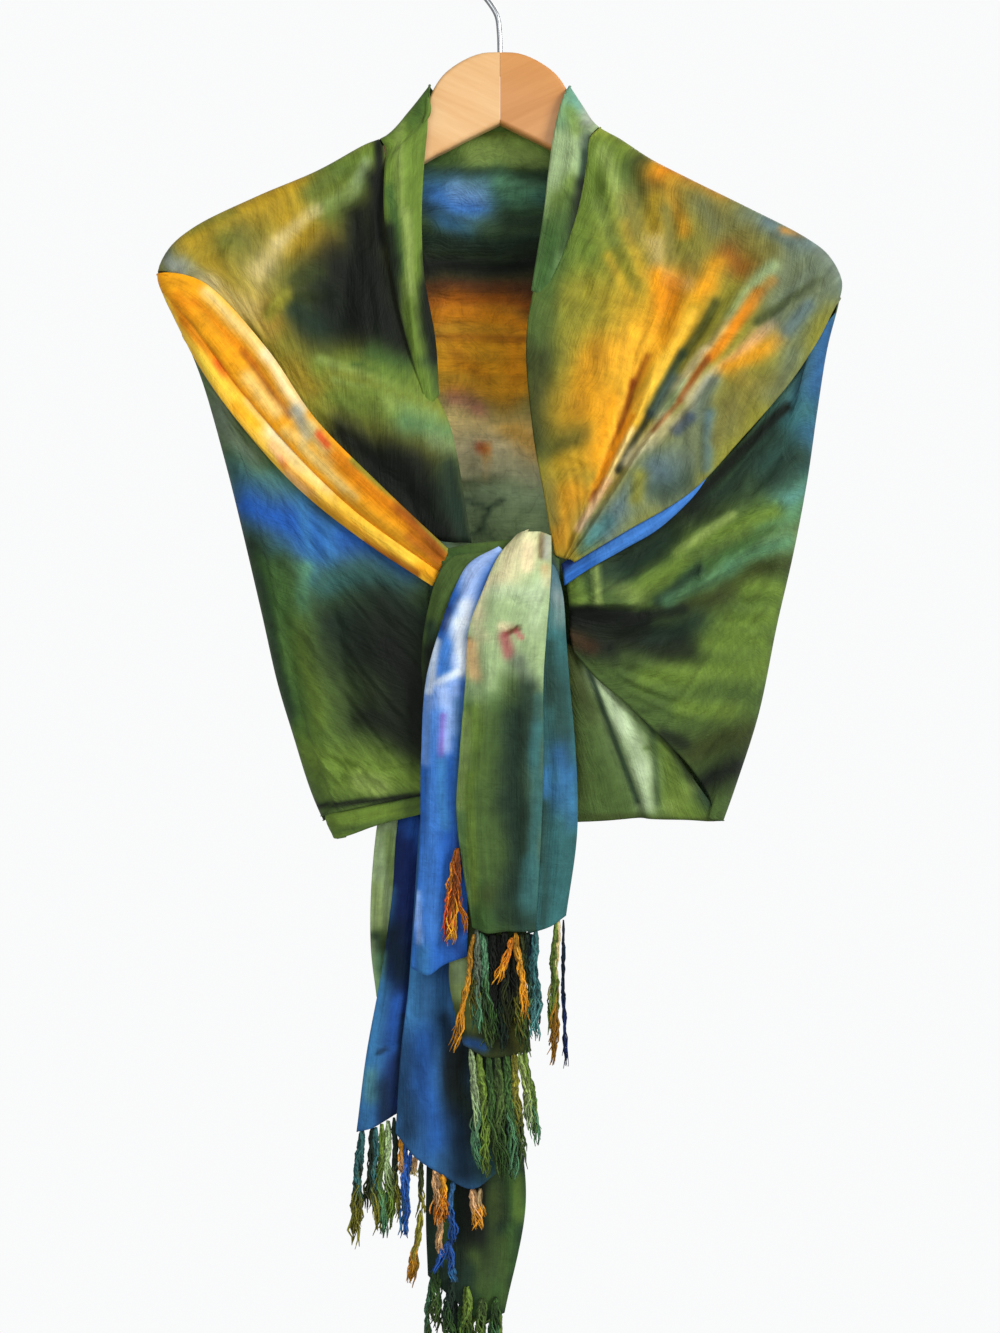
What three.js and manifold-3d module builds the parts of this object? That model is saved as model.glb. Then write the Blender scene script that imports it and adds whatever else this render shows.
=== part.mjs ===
// A hand-dyed sarong, folded in half along its length, draped like a shawl over a shaped wooden
// hanger and tied in front with one knot. Millimetres, +Z up, +X to the viewer's right, the front
// towards -Y. The origin is the inside top of the hook, where it bears on its rail.
//
// Places on the cloth are given by three measures: across (X), drop (down from the top of the
// wood) and either lift (how far the cloth's outer face stands off the draped form) or, on the
// free-hanging tails, out (how far its outer face stands forward of the hanger's middle plane).
import * as THREE from "three";
import Module from "manifold-3d";
import { mergeVertices } from "three/addons/utils/BufferGeometryUtils.js";

const wasm = await Module();
wasm.setup();

// ---------------------------------------------------------------- driving dimensions
const CLOTH = 1.8; // wall of the doubled cloth
const SEAM = 0.3; // gap between pieces that meet
const SIDE_SEAM = 0.6; // gap along the outline, where front and back meet
const WIRE = 3.6; // hook wire, diameter
const HOOK_INSIDE = 19.2; // inside radius of the hook
const WOOD_TOP = -76; // height of the wood's top below the hook's bearing point
const WOOD_THICK = 12; // wood, front to back
const WOOD_EASE = 3.2; // eased edge of the wood
const HOOK_DEPTH = 16; // how deep the wire sits in the wood
const ARM_REACH = 220; // middle to tip of one arm
const ARM_SWEEP = 35; // how far the tips stand forward of the middle
const ROLL = 12; // the cloth rolls over its outline within this distance
const NEAR_RIM = [3, 11]; // two lines set in from the outline, to follow that roll

// How far forward the arm's middle plane lies at a distance across.
const armOut = (across) => ARM_SWEEP * (Math.abs(across) / ARM_REACH) ** 1.6;

// ---------------------------------------------------------------- the draped form
// Outline of the cloth from the front, from the neck over the shoulder and tip to below the hem.
// Columns: across, drop, out.
const OUTLINE = {
  left: [
    [-46, 21, 3], [-60, 39, 4], [-75, 56, 6], [-90, 63, 8], [-120, 81, 13], [-160, 100, 21],
    [-200, 122, 30], [-216, 137, 34], [-223, 154, 35], [-219, 168, 34], [-206, 194, 30],
    [-195, 222, 27], [-180, 276, 22], [-169, 322, 18], [-157, 375, 14], [-147, 420, 12],
    [-137, 454, 10], [-125, 492, 9], [-112, 522, 8], [-95, 560, 7],
  ],
  right: [
    [46, 22, 3], [55, 36, 4], [64, 49, 5], [80, 59, 7], [100, 73, 10], [125, 87, 14],
    [160, 106, 21], [200, 129, 30], [214, 141, 34], [222.5, 158, 35], [221, 171, 34],
    [214, 200, 30], [208, 240, 26], [202, 285, 22], [193, 335, 18], [183, 380, 15],
    [171, 440, 12], [157, 485, 10], [149, 508, 9], [135, 545, 8],
  ],
};

// Level sections through the drape: how far out its front and back stand in the middle and at
// the sides. Columns: drop, front middle, front side, back middle, back side.
const SECTIONS = [
  [0, 12, 14, -9, -8],
  [20, 12, 14.5, -11, -8],
  [60, 13, 18, -13, -6],
  [80, 14, 26, -14, 0],
  [100, 15.5, 33, -15, 8],
  [120, 17.5, 40.5, -16, 14],
  [140, 20, 45.5, -16.5, 20],
  [160, 22.5, 47, -17, 23],
  [220, 29, 42, -18, 16],
  [280, 36, 37, -18, 8],
  [340, 40, 33, -17, 4],
  [420, 37, 28, -16, 1],
  [540, 31, 22, -14, -3],
];

// A smooth line through rows of three numbers, with the given number of steps between rows.
function smoothLine(rows, steps) {
  const points = rows.map((row) => new THREE.Vector3(...row));
  const curve = new THREE.CatmullRomCurve3(points, false, "centripetal");
  const count = (rows.length - 1) * steps;
  return Array.from({ length: count + 1 }, (_, index) => curve.getPoint(index / count));
}

// The outline as many short pieces, each point with its inward direction (across, drop).
const RIM_STEPS = 12;
function traceRim(side) {
  const points = smoothLine(OUTLINE[side], RIM_STEPS);
  const turn = side === "left" ? 1 : -1;
  return points.map((point, index) => {
    const before = points[Math.max(index - 1, 0)];
    const after = points[Math.min(index + 1, points.length - 1)];
    const run = new THREE.Vector2(after.x - before.x, after.y - before.y).normalize();
    return { across: point.x, drop: point.y, out: point.z, inward: [run.y * turn, -run.x * turn] };
  });
}
const RIM = { left: traceRim("left"), right: traceRim("right") };

// The outline at a given drop.
function rimAt(side, drop) {
  const rim = RIM[side];
  const next = Math.max(1, rim.findIndex((point) => point.drop >= drop));
  const [a, b] = [rim[next - 1], rim[next]];
  const part = THREE.MathUtils.clamp((drop - a.drop) / (b.drop - a.drop), 0, 1);
  const mix = (from, to) => from + (to - from) * part;
  return {
    across: mix(a.across, b.across), drop: mix(a.drop, b.drop), out: mix(a.out, b.out),
    inward: [mix(a.inward[0], b.inward[0]), mix(a.inward[1], b.inward[1])],
  };
}

// The nearest place on the outline, how far inside it a point lies, and the way out to it.
function nearestRim(across, drop) {
  const rim = RIM[across < 0 ? "left" : "right"];
  let best = { reach: Infinity };
  for (let index = 1; index < rim.length; index += 1) {
    const [a, b] = [rim[index - 1], rim[index]];
    const [dx, dy] = [b.across - a.across, b.drop - a.drop];
    const part = THREE.MathUtils.clamp(
      ((across - a.across) * dx + (drop - a.drop) * dy) / (dx * dx + dy * dy), 0, 1);
    const at = [a.across + dx * part, a.drop + dy * part];
    const reach = Math.hypot(across - at[0], drop - at[1]);
    if (reach < best.reach) {
      const out = a.out + (b.out - a.out) * part;
      const outward = reach < 0.05
        ? [-a.inward[0], -a.inward[1]]
        : [(at[0] - across) / reach, (at[1] - drop) / reach];
      best = { reach, out, outward };
    }
  }
  return best;
}

// The sections as smooth lines of (drop, middle, side), for the front and for the back.
const SECTION_STEPS = 8;
const SECTION_LINES = [1, 3].map((column) =>
  smoothLine(SECTIONS.map((row) => [row[0], row[column], row[column + 1]]), SECTION_STEPS));

// How far out a level section stands at a point; face 0 is the front and 1 the back.
function sectionOut(across, drop, face) {
  const line = SECTION_LINES[face];
  const next = Math.max(1, line.findIndex((point) => point.x >= drop));
  const [a, b] = [line[next - 1], line[next]];
  const part = THREE.MathUtils.clamp((drop - a.x) / (b.x - a.x), 0, 1);
  const [middle, side] = [a.y + (b.y - a.y) * part, a.z + (b.z - a.z) * part];
  const halfWidth = Math.abs(rimAt(across < 0 ? "left" : "right", drop).across);
  return middle + (side - middle) * Math.min(1, Math.abs(across) / halfWidth) ** 2;
}

// A point of the drape: it rolls over the outline and then follows the level sections.
function onForm(across, drop, lift, face) {
  const rim = nearestRim(across, drop);
  const depth = sectionOut(across, drop, face) - rim.out;
  const turn = rim.reach < 0.05 ? 0 : Math.acos(Math.max(0, 1 - rim.reach / ROLL));
  const [forward, sideways] = [Math.sin(turn), Math.cos(turn)];
  const sign = face === 0 ? 1 : -1;
  const out = rim.out + depth * forward + sign * (lift * forward + SIDE_SEAM / 2);
  return [
    across + rim.outward[0] * lift * sideways,
    drop + rim.outward[1] * lift * sideways,
    out,
  ];
}
const onFront = (across, drop, lift) => onForm(across, drop, lift, 0);
const onBack = (across, drop, lift) => onForm(across, drop, lift, 1);
const hanging = (across, drop, out) => [across, drop, out];

// ---------------------------------------------------------------- making solids
const inSpace = ([across, drop, out]) => new THREE.Vector3(across, -out, WOOD_TOP - drop);

const FINISH = {
  wood: { color: 0xdfa868, roughness: 0.55, metalness: 0 },
  wire: { color: 0xb9bdc0, roughness: 0.25, metalness: 1 },
  leaf: { color: 0x6f8f3c, roughness: 0.8, metalness: 0 },
  moss: { color: 0x3c5a2a, roughness: 0.8, metalness: 0 },
  gold: { color: 0xf0a52c, roughness: 0.8, metalness: 0 },
  pale: { color: 0xa9bf80, roughness: 0.8, metalness: 0 },
  teal: { color: 0x3d6f6c, roughness: 0.8, metalness: 0 },
  blue: { color: 0x2f62b0, roughness: 0.8, metalness: 0 },
  yarn: { color: 0x5f7a45, roughness: 0.9, metalness: 0 },
};

const sarong = new THREE.Group();

function addPiece(name, geometry, finish) {
  const mesh = new THREE.Mesh(geometry, new THREE.MeshStandardMaterial(FINISH[finish]));
  mesh.name = name;
  sarong.add(mesh);
  return mesh;
}

// A closed wall between an outer and an inner grid of points, each a list of equal rows.
function wallBetween(outer, inner) {
  const [rows, columns] = [outer.length, outer[0].length];
  const points = [...outer.flat(), ...inner.flat()];
  const at = (face, row, column) => face * rows * columns + row * columns + column;
  const faces = [];
  const quad = (a, b, c, d) => faces.push(a, b, c, a, c, d);
  for (let row = 0; row + 1 < rows; row += 1) {
    for (let column = 0; column + 1 < columns; column += 1) {
      const corners = [[row, column], [row + 1, column], [row + 1, column + 1], [row, column + 1]];
      quad(...corners.map((corner) => at(0, ...corner)));
      quad(...corners.reverse().map((corner) => at(1, ...corner)));
    }
  }
  const edge = [];
  for (let row = 0; row + 1 < rows; row += 1) edge.push([row, 0]);
  for (let column = 0; column + 1 < columns; column += 1) edge.push([rows - 1, column]);
  for (let row = rows - 1; row > 0; row -= 1) edge.push([row, columns - 1]);
  for (let column = columns - 1; column > 0; column -= 1) edge.push([0, column]);
  edge.forEach(([row, column], index) => {
    const [nextRow, nextColumn] = edge[(index + 1) % edge.length];
    quad(at(0, row, column), at(1, row, column), at(1, nextRow, nextColumn), at(0, nextRow, nextColumn));
  });
  const geometry = new THREE.BufferGeometry().setFromPoints(points);
  geometry.setIndex(signedVolume(points, faces) < 0 ? faces.reverse() : faces);
  geometry.computeVertexNormals();
  return geometry;
}

function signedVolume(points, faces) {
  let sum = 0;
  for (let index = 0; index < faces.length; index += 3) {
    const [a, b, c] = [0, 1, 2].map((corner) => points[faces[index + corner]]);
    sum += a.dot(b.clone().cross(c)) / 6;
  }
  return sum;
}

// The first points of a fold line that starts on the outline: on it, and the lines set in from it.
function fromRim(side, drop) {
  const rim = rimAt(side, drop);
  return [0, ...NEAR_RIM].map((reach) =>
    [rim.across + rim.inward[0] * reach, rim.drop + rim.inward[1] * reach, 0]);
}

const rimPoint = (side, drop) => fromRim(side, drop)[0];

// Fold lines, each a list of [across, drop, lift or out] with equally many points, become one
// stretch of cloth: smooth along each fold line, and smooth from each one to the next.
function foldLines(lines, along, between) {
  const smoothed = lines.map((line) => smoothLine(line, along));
  const columns = smoothed[0].map((_, column) =>
    smoothLine(smoothed.map((line) => line[column].toArray()), between));
  return columns[0].map((_, row) => columns.map((column) => column[row].toArray()));
}

function addCloth(name, lines, options) {
  const { place = onFront, finish = "leaf", thick = CLOTH, along = 1, between = 1 } = options;
  const grid = foldLines(lines, along, between);
  const facePoints = (depth) => grid.map((row) =>
    row.map(([across, drop, lift]) => inSpace(place(across, drop, lift - depth))));
  return addPiece(name, wallBetween(facePoints(0), facePoints(thick)), finish);
}

// ---------------------------------------------------------------- hanger
// Columns: across, drop of the upper edge, drop of the lower edge.
const ARM_SECTIONS = [
  [0.15, 0, 47.5], [12, 0.8, 53.5], [24, 5.5, 59.5], [36, 14, 66], [42, 21.5, 69], [47, 31, 72],
  [60, 51.6, 79.5], [78, 64, 88.5], [100, 77.5, 99.5], [150, 105.5, 126], [195, 131.5, 149],
  [211, 146.5, 157.5], [217.5, 155, 159.5],
];
const HOOK_SIDES = 10;
const HOOK_STEPS = 44;
const BORE_SIDES = 16;

// One arm: eased rectangular sections, closed at both ends, in two grids as a wall is.
function armGeometry(side) {
  const sections = ARM_SECTIONS.map(([across, top, bottom], index) => {
    const tip = index === ARM_SECTIONS.length - 1;
    const half = tip ? WOOD_THICK * 0.28 : WOOD_THICK / 2;
    const ease = Math.min(WOOD_EASE, (bottom - top) / 2 - 0.1, half - 0.1);
    const middle = armOut(across);
    return [
      [top, -half + ease], [top, half - ease], [top + ease, half], [bottom - ease, half],
      [bottom, half - ease], [bottom, -half + ease], [bottom - ease, -half], [top + ease, -half],
    ].map(([drop, out]) => inSpace([side * across, drop, middle + out]));
  });
  return loftClosed(sections);
}

// A solid through closed sections of equally many points, with flat ends.
function loftClosed(sections) {
  const sides = sections[0].length;
  const points = sections.flat();
  const faces = [];
  sections.slice(1).forEach((_, index) => {
    for (let side = 0; side < sides; side += 1) {
      const next = (side + 1) % sides;
      const [low, high] = [index * sides, (index + 1) * sides];
      faces.push(low + side, low + next, high + next, low + side, high + next, high + side);
    }
  });
  const last = (sections.length - 1) * sides;
  for (let side = 1; side + 1 < sides; side += 1) {
    faces.push(0, side + 1, side, last, last + side, last + side + 1);
  }
  const geometry = new THREE.BufferGeometry().setFromPoints(points);
  geometry.setIndex(signedVolume(points, faces) < 0 ? faces.reverse() : faces);
  return geometry;
}

function toManifold(source) {
  const bare = source.clone();
  bare.deleteAttribute("normal");
  bare.deleteAttribute("uv");
  const merged = mergeVertices(bare, 1e-4);
  return new wasm.Manifold(new wasm.Mesh({
    numProp: 3,
    vertProperties: new Float32Array(merged.attributes.position.array),
    triVerts: new Uint32Array(merged.index.array),
  }));
}

function fromManifold(solid) {
  const { vertProperties, triVerts } = solid.getMesh();
  const geometry = new THREE.BufferGeometry();
  geometry.setAttribute("position", new THREE.BufferAttribute(new Float32Array(vertProperties), 3));
  geometry.setIndex(new THREE.BufferAttribute(new Uint32Array(triVerts), 1));
  geometry.computeVertexNormals();
  return geometry;
}

// The wire stands up from the wood, bends to the left and round over the rail to its open tip.
function hookGeometry() {
  const radius = HOOK_INSIDE + WIRE / 2;
  const centre = -HOOK_INSIDE;
  const points = [
    new THREE.Vector3(0, 0, WOOD_TOP - HOOK_DEPTH), new THREE.Vector3(0, 0, WOOD_TOP - 4),
    new THREE.Vector3(-0.4, 0, WOOD_TOP + 14), new THREE.Vector3(-2, 0, WOOD_TOP + 25),
    new THREE.Vector3(-8, 0, WOOD_TOP + 35),
  ];
  const [start, end, stops] = [212, -28, 12];
  for (let stop = 0; stop <= stops; stop += 1) {
    const angle = THREE.MathUtils.degToRad(start + ((end - start) * stop) / stops);
    points.push(new THREE.Vector3(radius * Math.cos(angle), 0, centre + radius * Math.sin(angle)));
  }
  const extrudePath = new THREE.CatmullRomCurve3(points, false, "centripetal");
  const section = new THREE.Shape();
  for (let side = 0; side < HOOK_SIDES; side += 1) {
    const angle = (2 * Math.PI * side) / HOOK_SIDES;
    const corner = [(WIRE / 2) * Math.cos(angle), (WIRE / 2) * Math.sin(angle)];
    if (side === 0) section.moveTo(...corner);
    else section.lineTo(...corner);
  }
  section.closePath();
  return new THREE.ExtrudeGeometry(section, { steps: HOOK_STEPS, bevelEnabled: false, extrudePath });
}

function addHanger() {
  const boreRadius = WIRE / 2 + SEAM;
  const bore = new THREE.CylinderGeometry(boreRadius, boreRadius, HOOK_DEPTH * 2 + 1, BORE_SIDES);
  bore.rotateX(Math.PI / 2).translate(0, 0, WOOD_TOP);
  const hole = toManifold(bore);
  [["left", -1], ["right", 1]].forEach(([name, side]) => {
    const arm = toManifold(armGeometry(side)).subtract(hole);
    addPiece(`hanger_arm_${name}`, fromManifold(arm), "wood");
  });
  addPiece("hanger_hook", hookGeometry(), "wire");
}

// ---------------------------------------------------------------- back
// Each level fold line: its drop at the two sides, how much further down its middle hangs, and
// the cloth's lift at five places across, left to right.
const BACK_LEVELS = [
  [22.2, 14, 0, 0, 0, 0, 0],
  [40, 10, 0, 0.5, 0, 0.5, 0],
  [57, 7, 0.5, 0, 1, 0, 0.5],
  [76, 6, 0.5, -1, 1, -1, 1],
  [96, 5, 1, -1, 0, -1, 1],
  [116, 5, 1.5, -1, 1.5, 0, 1.5],
  [136, 5, 2, -1.5, 1, -1, 2],
  [155, 5, 3, -1, 2, -1.5, 2.5],
  [178, 5, 3.5, -1, 2.5, -2, 3],
  [215, 4, 4, -2, 3, -1.5, 3.5],
  [260, 4, 4, -2.5, 3.5, -2, 4],
  [310, 3, 4, -2, 4, -2.5, 4.5],
  [360, 2, 4.5, -2.5, 4, -2.5, 4.5],
  [410, 2, 5, -2.5, 4.5, -3, 4.5],
  [460, 1, 5, -3, 5, -3, 5],
  [511, 1, 5, -3, 5, -3.5, 5],
];
// Where across the width those five places lie.
const BACK_PLACES = [0.16, 0.36, 0.52, 0.68, 0.85];

function addBack() {
  const lines = BACK_LEVELS.map(([drop, sag, ...lifts]) => {
    const start = fromRim("left", drop);
    const end = fromRim("right", drop).reverse();
    const middle = lifts.map((lift, index) => {
      const part = BACK_PLACES[index];
      const across = start[2][0] + (end[0][0] - start[2][0]) * part;
      const level = start[2][1] + (end[0][1] - start[2][1]) * part;
      return [across, level + sag * 4 * part * (1 - part), lift];
    });
    return [...start, ...middle, ...end];
  });
  addCloth("back_panel", lines, { place: onBack, finish: "moss" });
}

// ---------------------------------------------------------------- left front
// Fold lines below: [across, drop, lift].
function addLeftFront() {
  // From the hanger's shoulder down along the neck edge; the last line is the crease beside it.
  addCloth("left_collar_band", [
    [rimPoint("left", 21.5), [-46.6, 25, 0], [-47.8, 34, 0], [-48.5, 52, 0.5], [-50.5, 78, 1],
      [-52, 112, 1], [-50.5, 152, 1], [-43, 195, 1.2], [-37, 228, 1.8]],
    [...fromRim("left", 33), [-56, 62, 2], [-57, 90, 2.5], [-57.5, 122, 2.5], [-56, 160, 2.5],
      [-48.5, 200, 2.5], [-42.5, 232, 2.6]],
    [...fromRim("left", 45), [-66.5, 70, 3], [-66, 98, 4], [-65, 130, 4], [-61, 166, 4],
      [-54.5, 204, 3.8], [-48, 234, 2.8]],
    [...fromRim("left", 56.5), [-76, 82, 1.5], [-76.5, 106, 1.6], [-73.5, 136, 1.6], [-67, 172, 1.6],
      [-60.5, 208, 1.6], [-54, 236, 1.8]],
  ], { between: 2 });

  // From the shoulder down to where it tucks under the pleats.
  addCloth("left_front_upper", [
    [...fromRim("left", 59), [-73, 88, -2.4], [-71, 120, -2.4], [-63, 165, -2.4], [-50, 215, -2.2],
      [-33, 250, -1.4], [-18.5, 328.5, -1]],
    [...fromRim("left", 67), [-90, 105, 0.5], [-86, 140, -0.5], [-80, 185, 0], [-72, 225, 1.5],
      [-63, 262, 2], [-42, 326, -3.4]],
    [...fromRim("left", 81), [-112, 117, 1.5], [-108, 150, 0.5], [-104, 190, 0], [-98, 225, 2],
      [-93, 253, 1], [-78, 300, -3.4]],
    [...fromRim("left", 91), [-135, 127, 2], [-136, 150, 0.5], [-132, 185, 0], [-126, 210, 0.5],
      [-121, 234, -2.6], [-112, 272, -3.4]],
    [...fromRim("left", 100), [-157, 129, 1], [-157, 150, 2.5], [-153, 172, 1.5], [-149, 192, -0.5],
      [-144, 210, -3.2], [-138, 235, -3.4]],
    [...fromRim("left", 111), [-177, 132, 0], [-176, 146, 0.5], [-174, 160, 0], [-170, 174, -2.6],
      [-166, 187, -3.4], [-160, 200, -3.4]],
    [...fromRim("left", 124), [-196, 141, 0], [-195, 148, 0], [-193, 154, -1.5], [-190, 162, -3.2],
      [-187, 168, -3.4], [-183, 175, -3.4]],
    [...fromRim("left", 140), [-206, 149, -0.6], [-204, 153, -2], [-202, 157, -3.2], [-200, 161, -3.4],
      [-198, 165, -3.4], [-196, 169, -3.4]],
    [...fromRim("left", 152), [-209.5, 155, -2.8], [-208, 157, -3.4], [-206.5, 159.5, -3.4],
      [-205, 162, -3.4], [-203.5, 165, -3.4], [-202, 168, -3.4]],
  ], { finish: "leaf" });

  // Two long pleats, stretched from the shoulder tip to the knot.
  addCloth("left_pleat_upper", [
    [...fromRim("left", 153.5), [-192, 161, 1.4], [-152, 203, 1.4], [-121, 248, 1.4], [-80, 290, 1.4],
      [-33.5, 334, 2]],
    [...fromRim("left", 156.5), [-194, 164, 3.5], [-155, 209, 4], [-124, 253, 4], [-83, 294, 4],
      [-35, 338, 4]],
    [rimPoint("left", 159.5), [-219, 160.8, 0.2], [-212, 164, 0.8], [-197, 172.5, 1.8],
      [-159, 216, 1.8], [-128, 258, 1.8], [-87, 298, 1.8], [-36.5, 341, 2.5]],
    [rimPoint("left", 162), [-218.4, 164.2, 0.4], [-212, 169, 1.6], [-199, 180, 4], [-165, 222, 4.6],
      [-133, 262, 4.6], [-91, 303, 4.2], [-38, 344, 4]],
    [rimPoint("left", 164.5), [-217.6, 167, 0.2], [-212, 172.5, 0.8], [-201, 185, 1], [-170, 227, 1],
      [-137, 266, 1], [-95, 307, 1], [-39.5, 347, 1.8]],
  ], { finish: "gold", between: 2 });
  addCloth("left_pleat_lower", [
    [rimPoint("left", 165.8), [-217.6, 168.2, 0.2], [-212.4, 173.6, 0.8], [-201.6, 186, 1],
      [-170.7, 228.2, 1], [-137.8, 267.2, 1], [-95.7, 308.2, 1], [-40, 347.8, 1.8]],
    [rimPoint("left", 174), [-214, 176.6, 0.4], [-209.6, 182.4, 1], [-200, 195, 2], [-174, 236, 5],
      [-140, 274, 5], [-94, 314, 4.6], [-41, 351, 4]],
    [rimPoint("left", 183), [-210, 186, 0.4], [-206.4, 192.2, 0.8], [-198.6, 203, 1.4],
      [-176, 241, 3.4], [-139, 281, 3.2], [-92, 319, 3], [-42, 353, 3]],
    [rimPoint("left", 193), [-204.6, 196.5, 0.2], [-202, 202, 0.4], [-197, 210.5, 0.6], [-173, 246, 1],
      [-133, 291, 1], [-88, 327, 1], [-43.5, 355.5, 1.4]],
  ], { finish: "gold", between: 2 });

  // Below the knot, from the side fold to the middle, where the tails hide its edge.
  addCloth("left_front_lower", [
    [rimPoint("left", 202), [-199.2, 207, -2], [-194, 214, -3.4], [-186, 220, -4.4], [-165, 243, -4.4],
      [-133, 281, -4.4], [-88, 317, -4.4], [-45.5, 347, -4.4]],
    [rimPoint("left", 226), [-191.5, 228, -1.6], [-185.5, 233.5, -2.6], [-178, 243, -2.6],
      [-155, 270, -2.6], [-128, 303, -2.6], [-86, 336, -2.6], [-46, 367, -3]],
    [...fromRim("left", 275), [-163, 285, 0], [-140, 310, 0], [-115, 335, 0.5], [-80, 360, 0],
      [-44, 385, -2]],
    [...fromRim("left", 330), [-151, 337, 1], [-130, 350, 3], [-105, 364, 0], [-75, 385, -0.5],
      [-42, 405, -2]],
    [...fromRim("left", 390), [-139, 394, 0], [-123, 400, 3], [-100, 410, 0], [-72, 420, -1],
      [-40, 430, -2]],
    [...fromRim("left", 440), [-126, 444, 1], [-113, 448, 2], [-92, 452, -1], [-68, 456, -1],
      [-38, 460, -2]],
    [...fromRim("left", 476), [-114, 480, 1.5], [-103, 480, 0], [-86, 479, 1], [-64, 477, -0.5],
      [-36, 474, -2]],
    [...fromRim("left", 503), [-106, 503, 1], [-97, 501, 0.5], [-82, 498, 0.5], [-62, 494, 0],
      [-35, 489, -2]],
  ], { finish: "moss", between: 2 });

  // The second layer of the fold, which shows as a strip under that hem.
  addCloth("left_hem_layer", [
    [[-108, 484, -3.1], [-98, 485, -3.1], [-80, 483, -3.6], [-37, 474, -5.1]],
    [[-107, 497, -2.3], [-98, 497, -2.7], [-80, 493, -2.7], [-36, 484, -4.7]],
    [[-110.5, 510, -1.1], [-99, 508.5, -1.7], [-80, 503.5, -1.7], [-35, 493, -4.1]],
    [[-108, 521, -0.5], [-98, 517.5, -0.7], [-80, 511.5, -1.1], [-34, 500, -3.7]],
  ], { finish: "leaf", along: 2 });
}

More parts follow.
